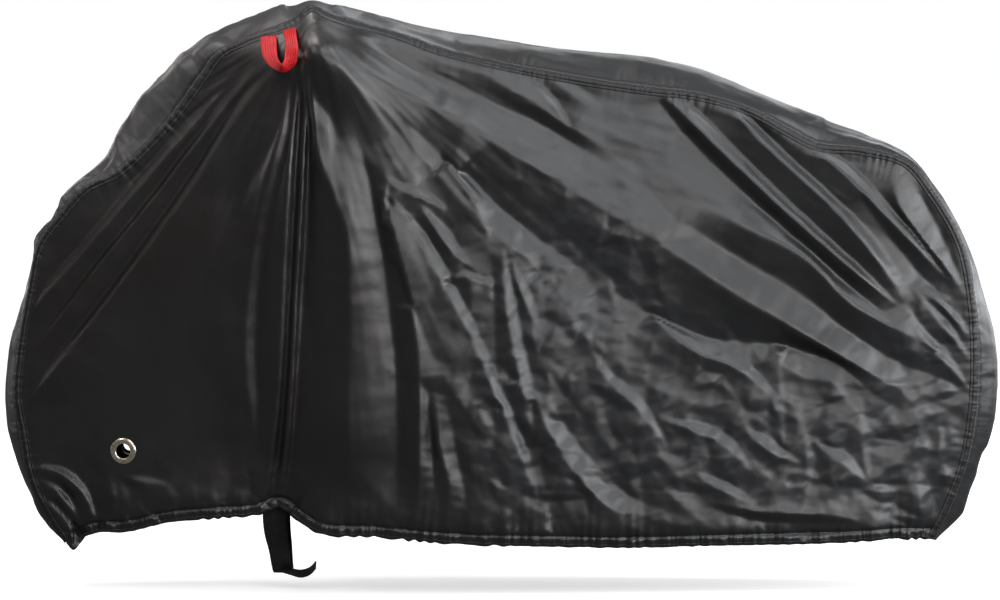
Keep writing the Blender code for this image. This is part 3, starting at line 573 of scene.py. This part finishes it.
def panel_surface(across, up, folds, seed, side):
    """The outer face of a side panel, as x, z and depth, and what its material reads."""
    sides = panel_sides(across, up)
    grid = between_sides(*sides, across, up)
    x, z = grid[..., 0], grid[..., 1]
    smooth = spread_depth(x, z)
    loose = (smooth[0], smooth[-1], smooth[:, 0], smooth[:, -1])
    ends = [edge[:, 2:] - row[:, None] for edge, row in zip(sides, loose)]
    mend = between_sides(*ends, across, up)[..., 0]
    seam_line = seam_points(0, -1, np.linspace(0, 1, 240))[:, :2]
    hem_length = row_distances(HEM)[-1]
    hem_line = smooth_rows(HEM, hem_length * np.linspace(0, 1, 200))[:, :2]
    from_seam, seam_share = nearest_on_line(x, z, seam_line)
    from_hem, hem_share = nearest_on_line(x, z, hem_line)
    seam_along = seam_share * row_distances(seam_line)[-1]
    hem_along = hem_share * row_distances(hem_line)[-1]
    calm = np.clip(from_seam / SEAM_CALM, 0, 1) * np.clip(from_hem / SEAM_CALM, 0, 1)
    rough = roughness_of_cloth(x, z, side)
    creased = crease_net(x, z, folds, seed + 40, side)
    drawn = softened(creased, 3)
    lift = drawn + (creased - drawn) * np.clip((rough - 0.2) / 0.3, 0, 1)
    lift = calm * (lift + crumple(x, z, rough, seed, side))
    lift += seam_pucker(seam_along, from_seam, seed)
    edge = np.clip(from_seam / SEAM_CALM, 0, 1)
    lift += edge * hem_shape(hem_along, from_hem, hem_length, seed)
    tuck = np.exp(-((from_hem / HEM_TUCK_HEIGHT) ** 2)) * edge
    depth = smooth + mend + lift - HEM_TUCK * tuck
    flat = eyelet_plane(x, z)[0]
    near = np.hypot(x - EYELET_AT[0], z - EYELET_AT[1])
    keep = np.clip((near - FLAT_RADIUS) / FLAT_BLEND, 0, 1)
    keep = keep * keep * (3 - 2 * keep)
    depth = flat + (depth - flat) * keep + CLOTH
    z = z + 1.5 * waves(hem_along, 33.0, seed + 8) * np.exp(-from_hem / 9.0) * edge
    places = np.stack([x, z, depth], axis=-1)
    return places, {"hem_up": from_hem, "hem_along": hem_along, "crumpled": rough}


def to_world(x, y, z):
    return (np.stack([x, y, z], axis=-1) - np.array(TOP)) * MM


def spot(x, y, z):
    """A place in millimetres as a point of the scene."""
    return (Vector((x, y, z)) - TOP) * MM


def label_points(mesh, label, values):
    layer = mesh.attributes.new(label, "FLOAT", "POINT")
    layer.data.foreach_set("value", np.array(values, np.float32))


def mesh_of_rows(name, rows, labels):
    """A mesh of rows of points, where a row may have twice the pieces of the next one."""
    faces = []
    low = 0
    for row, above in zip(rows, rows[1:]):
        high = low + len(row)
        if len(row) == len(above):
            faces += [(low + j, low + j + 1, high + j + 1, high + j) for j in range(len(row) - 1)]
        else:
            for j in range(len(above) - 1):
                k = low + 2 * j
                faces.append((k, k + 1, k + 2, high + j + 1, high + j))
        low = high
    mesh = bpy.data.meshes.new(name)
    mesh.from_pydata(np.concatenate(rows).tolist(), [], faces)
    for label, values in labels.items():
        label_points(mesh, label, np.concatenate(values))
    mesh.shade_smooth()
    return mesh


def mesh_of_rings(name, rings, joined):
    """A mesh of rings of points: the last joined to the first, or a face over both ends."""
    bm = bmesh.new()
    rings = [[bm.verts.new(corner) for corner in ring] for ring in rings]
    count = len(rings[0])
    for a, b in zip(rings, rings[1:] + rings[:1] if joined else rings[1:]):
        for i in range(count):
            j = (i + 1) % count
            bm.faces.new((a[i], a[j], b[j], b[i]))
    if not joined:
        bm.faces.new(rings[0])
        bm.faces.new(rings[-1])
    bmesh.ops.recalc_face_normals(bm, faces=bm.faces)
    mesh = bpy.data.meshes.new(name)
    bm.to_mesh(mesh)
    bm.free()
    mesh.shade_smooth()
    return mesh


def add_object(name, data):
    obj = bpy.data.objects.new(name, data)
    bpy.context.scene.collection.objects.link(obj)
    return obj


def point_at(obj, place, aim, axis="-Z"):
    """Puts an object in place, with one of its axes along a direction."""
    obj.location = place
    obj.rotation_mode = "QUATERNION"
    obj.rotation_quaternion = aim.to_track_quat(axis, "Y")


def add_piece(name, mesh, material, *nodes):
    obj = add_object(name, mesh)
    obj.data.materials.append(material)
    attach(obj, "root")
    if nodes:
        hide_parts(*nodes)
    return obj


def add_side_panel(name, node, side, columns, rows, dense, folds, seed, material):
    low = np.linspace(0, HEM_DENSE, dense + 1)
    up = np.concatenate([low, np.linspace(HEM_DENSE, 1, rows - dense + 1)[1:]])
    places, labels = panel_surface(np.linspace(0, 1, 2 * columns + 1), up, folds, seed, side)
    turned = [places[0] + (0.0, upward, -inward) for inward, upward in HEM_TURNS]

    def thinned(grid):
        """The rows of a grid, with every second column left out above the dense ones."""
        return [row if i <= dense else row[::2] for i, row in enumerate(grid)]

    points = [to_world(row[:, 0], side * row[:, 2], row[:, 1]) for row in turned + thinned(places)]
    for label, values in labels.items():
        labels[label] = [values[0]] * len(turned) + thinned(values)
    mesh = mesh_of_rows(name, points, labels)
    if side > 0:
        mesh.flip_normals()
    cut_hole(mesh, side)
    obj = add_piece(name, mesh, material, node)
    return obj


def cut_hole(mesh, side):
    """Opens the cloth under an eyelet's flange."""
    place, _ = eyelet_place(side)
    bm = bmesh.new()
    bm.from_mesh(mesh)
    inside = [f for f in bm.faces if (f.calc_center_median() - place).length < EYELET_CUT * MM]
    bmesh.ops.delete(bm, geom=inside, context="FACES")
    bm.to_mesh(mesh)
    bm.free()


def seam_stations(count):
    """Places along the seam with the direction out of the cover, and the distance along."""
    rows = seam_points(0, -1, np.linspace(0, 1, count))
    along = unit(np.gradient(rows[:, :2], axis=0))
    outward = np.stack([-along[:, 1], along[:, 0]], axis=1)
    return rows, outward, row_distances(rows)


def add_spine_strip(count, segments, material):
    stations, outward, length = seam_stations(count)
    shares = np.linspace(-1, 1, segments + 1)
    share_grid, along = np.meshgrid(shares, length, indexing="ij")
    across = share_grid * stations[None, :, 3]
    front = np.exp(-(((along - STRIP_CRUMPLED_AT) / STRIP_CRUMPLED_REACH) ** 4))
    ends = np.exp(-along / 160.0) + np.exp(-(length[-1] - along) / 260.0)
    rough = np.clip(0.28 + 0.72 * front + 0.4 * ends, 0, 1)
    creases = 11.0 * facet_field(along / 74.0, across / 62.0 + along / 300, 31)
    creases += 7.0 * facet_field(along / 34.0, across / 38.0, 32)
    creases += 1.4 * facet_field(along / 14.0, across / 19.0, 33)
    creases *= rough
    creases += 2.2 * facet_field(along / 210.0, across / 19.0, 34)
    creases += facet_field(along / 90.0, across / 9.0, 35)
    rows = []
    for share, crease, width in zip(shares, creases, across):
        edge = (1 - abs(share)) * stations[:, 3]
        rise = stations[:, 2] * (1 - abs(share) ** 2.2) + CLOTH
        drawn = STRIP_TAUT + (1 - STRIP_TAUT) * min(1.0, abs(share) / 0.55)
        rise += drawn * crease * np.clip(edge / 14.0, 0, 1)
        rise += 0.7 * seam_pucker(length, edge, 9 + int(np.sign(share)), 10.0)
        flat = stations[:, :2] + outward * rise[:, None]
        rows.append(to_world(flat[:, 0], width, flat[:, 1]))
    mesh = mesh_of_rows("spine_strip_cloth", rows, {"crumpled": rough})
    obj = add_piece("spine_strip_cloth", mesh, material, "spine_strip")
    return obj


def tree_of(obj):
    return BVHTree.FromObject(obj, bpy.context.evaluated_depsgraph_get())


def add_seam_band(name, side, panel, strip, count, material):
    """The felled seam: the strip's allowance turned over the panel's and stitched down twice."""
    bpy.context.view_layer.update()
    panel_tree, strip_tree = tree_of(panel), tree_of(strip)
    stations, outward, length = seam_stations(count)
    reach = np.array(SEAM_BAND)
    heights = BAND_RISE * np.sqrt(np.clip(1 - ((reach - 1.5) / 9.5) ** 2, 0, 1))
    pucker = 1 + 0.35 * waves(length, 8.5, 21 + side)
    rows = [[] for _ in reach]
    for (x, z, _, half), out, swell in zip(stations, outward, pucker):
        for row, way, height in zip(rows, reach, heights):
            below = x - out[0] * way, z - out[1] * way
            if way <= 0:
                away = x + out[0] * BAND_PROBE, z + out[1] * BAND_PROBE
                start, aim = spot(away[0], side * (half + way), away[1]), (-out[0], 0, -out[1])
                tree = strip_tree
            else:
                start, aim = spot(below[0], side * (half + BAND_PROBE), below[1]), (0, -side, 0)
                tree = panel_tree
            hit = tree.ray_cast(start, Vector(aim), BAND_PROBE_REACH)[0]
            if hit is None:
                hit = spot(below[0], side * (half + 1), below[1])
            lean = min(max((way + 4.0) / 8.0, 0.0), 1.0)
            normal = Vector((out[0] * (1 - lean), side * lean, out[1] * (1 - lean))).normalized()
            row.append(hit + normal * (height * swell - 0.25) * MM)
    labels = {
        "band_across": [np.full(count, way) for way in reach],
        "seam_along": [length] * len(rows),
    }
    mesh = mesh_of_rows(name, rows, labels)
    if side < 0:
        mesh.flip_normals()
    obj = add_piece(name, mesh, material)


def eyelet_place(side):
    """The middle of the eyelet's hole on the cloth's inner face, and the way it faces."""
    depth, slope_x, slope_z = eyelet_plane(*np.array(EYELET_AT))
    facing = Vector((-slope_x, side, -slope_z)).normalized()
    return spot(EYELET_AT[0], side * float(depth), EYELET_AT[1]), facing


def add_eyelet(name, node, side, material):
    """A domed metal eyelet and its washer, turned from one section."""
    turns = [2 * math.pi * i / EYELET_STEPS for i in range(EYELET_STEPS)]
    rings = [
        [(r * MM * math.cos(turn), r * MM * math.sin(turn), height * MM) for turn in turns]
        for r, height in EYELET_PROFILE
    ]
    obj = add_piece(name, mesh_of_rings(name, rings, True), material, node)
    point_at(obj, *eyelet_place(side), "Z")


def webbing_mesh(name, centres, across, widths, thickness, ribs, rib_height):
    """Webbing along a line: closed oblong sections with ribs along both faces."""
    centres = np.array(centres, float)
    across = unit(np.array(across, float))
    facing = unit(np.cross(unit(np.gradient(centres, axis=0)), across))
    shares = np.linspace(-0.5, 0.5, 25)
    swell = rib_height * np.cos(2 * math.pi * ribs * shares) ** 2
    half = (thickness / 2 + swell) * np.sqrt(np.clip(1 - (2 * shares) ** 16, 0, 1))
    section = [*zip(shares, half), *zip(shares[-2:0:-1], -half[-2:0:-1])]
    rings = [
        [spot(*(centre + side * width * share + out * height)) for share, height in section]
        for centre, side, out, width in zip(centres, across, facing, widths)
    ]
    mesh = mesh_of_rings(name, rings, False)
    label_points(mesh, "web_along", np.repeat(row_distances(centres[:, [0, 2]]), len(section)))
    label_points(mesh, "web_across", [share * width for width in widths for share, _ in section])
    return mesh


def near_front(tree, x, z):
    """How far out the near panel's face lies at x, z."""
    hit = tree.ray_cast(spot(x, -600.0, z), Vector((0.0, 1.0, 0.0)))[0]
    return hit.y / MM if hit is not None else 0.0


def add_pull_loop(panel, material):
    """A loop of ribbed webbing sewn into the near seam with both ends, lying on the panel."""
    tree = tree_of(panel)
    count = 61
    places = refine(LOOP, count)
    along = unit(np.gradient(places[:, :2], axis=0))
    steps = np.minimum(np.arange(count), np.arange(count)[::-1])
    reach = np.minimum(6.0, 0.5 + 1.2 * steps)
    centres, across = [], []
    for (x, z, width, lean, clear), (run_x, run_z), window in zip(places, along, reach):
        shares = np.linspace(-0.5, 0.5, 5)
        fronts = []
        for share in shares:
            at_x, at_z = x - share * width * run_z, z + share * width * run_x
            spots = [(at_x + step * run_x, at_z + step * run_z) for step in (-window, 0.0, window)]
            fronts.append(min(near_front(tree, *at) for at in spots))
        slope = (fronts[-1] - fronts[0]) / (shares[-1] - shares[0]) / width
        slope = min(max(slope, -0.8), 0.8) - math.tan(math.radians(lean))
        lowest = min(y - slope * width * share for y, share in zip(fronts, shares))
        depth = lowest - (clear + WEBBING) * math.hypot(1, slope)
        centres.append((x, depth, z))
        across.append((-run_z, slope, run_x))
    centres, across = np.array(centres), np.array(across)
    for rows in (centres[:, 1], across):
        for _ in range(LOOP_SMOOTHING):
            rows[1:-1] = (rows[:-2] + 2 * rows[1:-1] + rows[2:]) / 4
    mesh = webbing_mesh("pull_loop_webbing", centres, across, places[:, 2], WEBBING, 3, 1.3)
    obj = add_piece("pull_loop_webbing", mesh, material, "pull_loop")


def strap_seat(panel, side):
    tree = tree_of(panel)
    depths = []
    for x in np.linspace(STRAP_X - STRAP_WIDTH / 2, STRAP_X + STRAP_WIDTH / 2, 9):
        for z in np.linspace(STRAP_FREE + 8, STRAP_TOP, 5):
            hit = tree.ray_cast(spot(x, 0.0, z), Vector((0.0, side, 0.0)))[0]
            if hit is not None:
                depths.append(abs(hit.y) / MM)
    return min(depths) - WEBBING


def add_hem_strap(near, far, material):
    """The strap under the front wheel, from hem to hem, with its loose end."""
    rows = []
    for side, panel in ((-1, near), (1, far)):
        seat = strap_seat(panel, side)
        sewn = [
            (STRAP_X, seat, STRAP_TOP, STRAP_WIDTH),
            (STRAP_X, seat, (STRAP_TOP + STRAP_FREE) / 2, STRAP_WIDTH),
            (STRAP_X, seat - 1.0, STRAP_FREE, STRAP_WIDTH),
        ]
        half = np.vstack([sewn, STRAP_HALF]) * (1, side, 1, 1)
        rows.append(half if side < 0 else half[-2::-1])
    rows = refine(np.vstack(rows)[:, [1, 2, 0, 3]], 90)
    lean = 0.12 * np.sin(np.linspace(0, 9.0, len(rows)))
    across = np.stack([np.ones(len(rows)), lean, np.zeros(len(rows))], axis=1)
    mesh = webbing_mesh(
        "hem_strap_webbing", rows[:, [2, 0, 1]], across, rows[:, 3], WEBBING, 9, 0.12
    )
    strap = add_piece("hem_strap_webbing", mesh, material, "hem_strap")

    rows = refine(np.array(TAIL, float)[:, [0, 2, 1, 3, 4]], 40)
    centres = np.stack([rows[:, 0], -rows[:, 2], rows[:, 1]], axis=1)
    lean = np.radians(rows[:, 4])
    across = np.stack([np.zeros(len(rows)), np.cos(lean), np.sin(lean)], axis=1)
    mesh = webbing_mesh("strap_tail_webbing", centres, across, rows[:, 3], WEBBING, 9, 0.12)
    tail = add_piece("strap_tail_webbing", mesh, material)


class Nodes:
    """Shorthand for building a material's node tree."""

    def __init__(self, name):
        self.material = bpy.data.materials.new(name)
        self.material.use_nodes = True
        self.tree = self.material.node_tree
        self.shader = self.tree.nodes["Principled BSDF"]

    def put(self, socket, value):
        if isinstance(value, bpy.types.NodeSocket):
            self.tree.links.new(value, socket)
        elif isinstance(value, tuple) and len(value) == 3 and socket.type == "RGBA":
            socket.default_value = (*value, 1)
        else:
            socket.default_value = value

    def add(self, kind, values=None, **settings):
        node = self.tree.nodes.new(kind)
        for key, value in settings.items():
            setattr(node, key, value)
        for key, value in (values or {}).items():
            self.put(node.inputs[key], value)
        return node

    def maths(self, operation, *values):
        values = dict(enumerate(values))
        return self.add("ShaderNodeMath", values, operation=operation).outputs[0]

    def attribute(self, name):
        return self.add("ShaderNodeAttribute", attribute_name=name).outputs["Fac"]

    def set(self, name, value):
        """Sets an input of the shader, or links it."""
        self.put(self.shader.inputs[name], value)

    def place(self):
        return self.add("ShaderNodeTexCoord").outputs["Object"]

    def noise(self, scale, detail=2.0, warp=0.0):
        values = {"Scale": scale, "Detail": detail, "Distortion": warp, "Vector": self.place()}
        return self.add("ShaderNodeTexNoise", values).outputs["Fac"]

    def between(self, value, low, high, to_low, to_high):
        values = dict(enumerate((value, low, high, to_low, to_high)))
        return self.add("ShaderNodeMapRange", values).outputs[0]

    def mix(self, factor, a, b):
        values = {"Factor": factor, 6: a, 7: b}
        return self.add("ShaderNodeMix", values, data_type="RGBA").outputs[2]

    def bump(self, height, distance, strength, normal=None):
        values = {"Height": height, "Distance": distance, "Strength": strength}
        if normal is not None:
            values["Normal"] = normal
        return self.add("ShaderNodeBump", values).outputs["Normal"]

    def away(self, value, offset):
        return self.maths("ABSOLUTE", self.maths("SUBTRACT", value, offset))

    def stitches(self, across, along, offset, width, pitch):
        """1 on the threads of a row of stitches, which lies at an offset from a line."""
        row = self.between(self.away(across, offset), width * 0.55, width, 1.0, 0.0)
        part = self.maths("PINGPONG", along, pitch / 2)
        dash = self.between(part, pitch * 0.10, pitch * 0.16, 0.0, 1.0)
        return self.maths("MULTIPLY", row, dash)


def cloth_material(name, front_black_painted_warm, rear_black_painted_cool, roughness, hemmed):
    """Coated woven cloth: satin, nearly black, with creases, a fine weave and its stitching, a
    painted warm-to-cool light from front to rear, and a painted sheen where it is crumpled.
    """
    n = Nodes(name)
    place = n.place()
    parts = n.add("ShaderNodeSeparateXYZ", {"Vector": place})
    # Painted light: the near-black colour turns from a warm tint at the front to a cool tint at
    # the rear, standing in for warm and cool light falling on the cloth.
    side = n.between(parts.outputs["X"], -0.05, 0.55, 0.0, 1.0)
    tint = n.mix(side, front_black_painted_warm, rear_black_painted_cool)
    cloud = n.noise(5.0, 3.0)
    tint = n.mix(n.between(cloud, 0.35, 0.65, 0.0, 0.3), tint, tuple(c * 1.9 for c in rear_black_painted_cool))
    crumpled = n.attribute("crumpled")
    # Painted sheen: the colour is lighter where the cloth is crumpled, standing in for light
    # caught by its creases.
    tint = n.mix(n.between(crumpled, 0.3, 0.9, 0.0, 0.9), tint, tuple(c * 2.1 for c in rear_black_painted_cool))

    turn = (0.0, math.radians(-34), 0.0)
    drape = n.add(
        "ShaderNodeMapping", {"Vector": place, "Rotation": turn, "Scale": (1.0, 1.0, 2.6)}
    ).outputs["Vector"]
    fine = n.add(
        "ShaderNodeTexNoise",
        {"Scale": 13.0, "Detail": 5.0, "Roughness": 0.62, "Distortion": 0.5, "Vector": drape},
        noise_type="RIDGED_MULTIFRACTAL",
    )
    small_crease = n.bump(fine.outputs["Fac"], 0.0016, n.between(crumpled, 0.1, 0.9, 0.06, 0.8))
    soft = n.bump(n.noise(16.0, 3.0, 0.4), 0.003, 0.12, small_crease)

    threads = (
        n.add("ShaderNodeTexWave", {"Scale": 240.0, "Vector": place}, bands_direction=way)
        for way in "XZ"
    )
    weave = n.maths("MULTIPLY", *(wave.outputs["Fac"] for wave in threads))
    woven = n.bump(weave, 0.00012, 0.5, soft)

    colour, relief = tint, woven
    if hemmed:
        up, along = n.attribute("hem_up"), n.attribute("hem_along")
        first, second = (n.stitches(up, along, at, 0.9, 4.6) for at in (HEM_BAND - 1.5, 5.5))
        thread = n.maths("MAXIMUM", first, second)
        colour = n.mix(n.maths("MULTIPLY", thread, 0.7), tint, (0.09, 0.09, 0.094))
        relief = n.bump(thread, 0.0009, 0.8, woven)
    n.set("Base Color", colour)
    uneven = n.between(n.noise(9.0, 3.0), 0.3, 0.7, roughness - 0.04, roughness + 0.06)
    worn = n.between(crumpled, 0.3, 0.9, 0.0, 0.07)
    n.set("Roughness", n.maths("ADD", uneven, worn))
    n.set("Normal", relief)
    n.set("Specular IOR Level", 0.8)
    n.set("Sheen Weight", 0.03)
    n.set("Sheen Roughness", 0.5)
    return n.material


def band_material(name, colour):
    """The felled seam, with two rows of stitches that draw it into small puckers."""
    n = Nodes(name)
    across, along = n.attribute("band_across"), n.attribute("seam_along")
    first, second = (n.stitches(across, along, at, 0.8, 4.4) for at in BAND_STITCHES)
    thread = n.maths("MAXIMUM", first, second)
    dents = (n.between(n.away(across, at), 0.4, 2.4, 0.0, 1.0) for at in BAND_STITCHES)
    dented = n.bump(n.maths("MULTIPLY", *dents), 0.0012, 0.9)
    gather = n.bump(n.noise(120.0), 0.002, 0.5, dented)
    n.set("Base Color", n.mix(n.maths("MULTIPLY", thread, 0.8), colour, (0.11, 0.11, 0.115)))
    n.set("Roughness", n.between(n.noise(30.0), 0.3, 0.7, 0.40, 0.55))
    n.set("Normal", n.bump(thread, 0.0008, 0.9, gather))
    return n.material


def webbing_material(name, colour, dirt_and_groove_shade, roughness):
    """Woven webbing: a herringbone of fine ribs, painted shade in its grooves, and a little dirt
    at random.
    """
    n = Nodes(name)
    along, across = n.attribute("web_along"), n.attribute("web_across")
    ridge = n.maths("PINGPONG", n.maths("ADD", along, n.maths("PINGPONG", across, 2.0)), 0.7)
    weft = n.maths("PINGPONG", across, 0.55)
    height = n.maths("ADD", ridge, n.maths("MULTIPLY", weft, 0.5))
    dirt = n.between(n.noise(55.0, 4.0), 0.42, 0.7, 0.0, 0.5)
    shade = n.mix(dirt, colour, dirt_and_groove_shade)
    # Painted shade: the colour darkens towards the darker colour in the low grooves between the
    # ribs.
    n.set("Base Color", n.mix(n.between(height, 0.0, 0.5, 0.45, 0.0), shade, dirt_and_groove_shade))
    n.set("Roughness", n.between(n.noise(80.0), 0.3, 0.7, roughness, roughness + 0.15))
    n.set("Normal", n.bump(height, 0.0004, 0.7))
    return n.material


def metal_material(name, colour, tarnish):
    """Plated steel, finely uneven and a little tarnished."""
    n = Nodes(name)
    stain = n.between(n.noise(190.0, 3.0, 0.4), 0.40, 0.68, 0.0, 0.85)
    n.set("Base Color", n.mix(stain, colour, tarnish))
    n.set("Metallic", 1.0)
    n.set("Roughness", n.between(n.noise(260.0), 0.3, 0.7, 0.18, 0.36))
    n.set("Normal", n.bump(n.noise(420.0), 0.0002, 0.35))
    return n.material


def add_world():
    """A white surround to the camera, which lights the cover far less than it shows."""
    world = bpy.data.worlds.new("studio")
    bpy.context.scene.world = world
    world.use_nodes = True
    tree = world.node_tree
    background = tree.nodes["Background"]
    background.inputs["Color"].default_value = (1, 1, 1, 1)
    seen = tree.nodes.new("ShaderNodeLightPath")
    strength = tree.nodes.new("ShaderNodeMapRange")
    strength.inputs["To Min"].default_value = WORLD
    tree.links.new(seen.outputs["Is Camera Ray"], strength.inputs["Value"])
    tree.links.new(strength.outputs["Result"], background.inputs["Strength"])


def add_floor():
    mesh = bpy.data.meshes.new("floor")
    bm = bmesh.new()
    bmesh.ops.create_circle(bm, cap_ends=True, segments=96, radius=FLOOR_RADIUS)
    bm.to_mesh(mesh)
    bm.free()
    floor = add_object("floor", mesh)
    floor.location = (-TOP.x * MM, 0.0, -TOP.z * MM)
    n = Nodes("floor_paper")
    away = n.add("ShaderNodeVectorMath", {0: n.place()}, operation="LENGTH").outputs["Value"]
    n.set("Base Color", (0.86, 0.86, 0.86))
    n.set("Roughness", 0.9)
    n.set("Specular IOR Level", 0.0)
    n.set("Emission Color", (1.0, 1.0, 1.0))
    n.set("Emission Strength", n.between(away, 2.0, 5.0, 0.55, 1.0))
    mesh.materials.append(n.material)
    floor.visible_glossy = False
    floor.visible_diffuse = False


def add_lamps():
    for azimuth, elevation, power, colour in LAMPS:
        light = bpy.data.lights.new("lamp", "AREA")
        light.shape = "SQUARE"
        light.size = LAMP_SIZE
        light.energy = power
        light.color = colour
        obj = add_object("lamp", light)
        obj.visible_camera = False
        turn, tilt = math.radians(azimuth), math.radians(elevation)
        flat = math.cos(tilt)
        aim = Vector((math.sin(turn) * flat, -math.cos(turn) * flat, math.sin(tilt)))
        point_at(obj, LAMP_CENTRE + aim * LAMP_DISTANCE, -aim)


def add_camera():
    data = bpy.data.cameras.new("camera")
    data.sensor_width = 36
    data.lens = 36 * (CAMERA_DISTANCE - NEAR_SIDE) / (1000 * PIXEL * MM)
    camera = add_object("camera", data)
    place = Vector(to_world(0.0, -CAMERA_DISTANCE / MM, CAMERA_HEIGHT))
    aim = Vector(to_world(0.0, 0.0, (GROUND_V - MIDDLE_V) * PIXEL))
    point_at(camera, place, aim - place)
    bpy.context.scene.camera = camera


def main():
    # Near-black cloth colours, with painted warm light at the front and painted cool light at the
    # rear: first for the panels, then for the strip.
    front_black_painted_warm, rear_black_painted_cool = (0.0125, 0.0104, 0.0097), (0.0088, 0.0094, 0.0106)
    cloth = cloth_material("coated_cloth_satin", front_black_painted_warm, rear_black_painted_cool, 0.36, True)
    front_black_painted_warm, rear_black_painted_cool = (0.0125, 0.0112, 0.0106), (0.0108, 0.0112, 0.0122)
    strip_cloth = cloth_material("strip_cloth_satin", front_black_painted_warm, rear_black_painted_cool, 0.38, False)
    band_cloth = band_material("seam_cloth", (0.015, 0.015, 0.016))
    metal = metal_material("plated_metal", (0.90, 0.87, 0.78), (0.62, 0.50, 0.28))
    # The webbing's second colour serves both as dirt and as painted shade in the grooves of its
    # weave.
    red = webbing_material("red_webbing_weave", (0.80, 0.004, 0.012), (0.40, 0.002, 0.005), 0.30)
    black = webbing_material("black_webbing_weave", (0.01,) * 3, (0.004,) * 3, 0.62)

    near = add_side_panel("near_panel", "side_panel_near", -1, 400, 212, 16, NEAR_FOLDS, 3, cloth)
    far = add_side_panel("far_panel", "side_panel_far", 1, 200, 110, 8, FAR_FOLDS, 11, cloth)
    strip = add_spine_strip(1100, 30, strip_cloth)
    add_seam_band("near_seam", -1, near, strip, 1300, band_cloth)
    add_seam_band("far_seam", 1, far, strip, 700, band_cloth)
    add_eyelet("near_eyelet", "lock_eyelet_near", -1, metal)
    add_eyelet("far_eyelet", "lock_eyelet_far", 1, metal)
    add_pull_loop(near, red)
    add_hem_strap(near, far, black)
    add_world()
    add_floor()
    add_lamps()
    add_camera()
    bpy.context.scene.view_settings.view_transform = "Standard"


main()
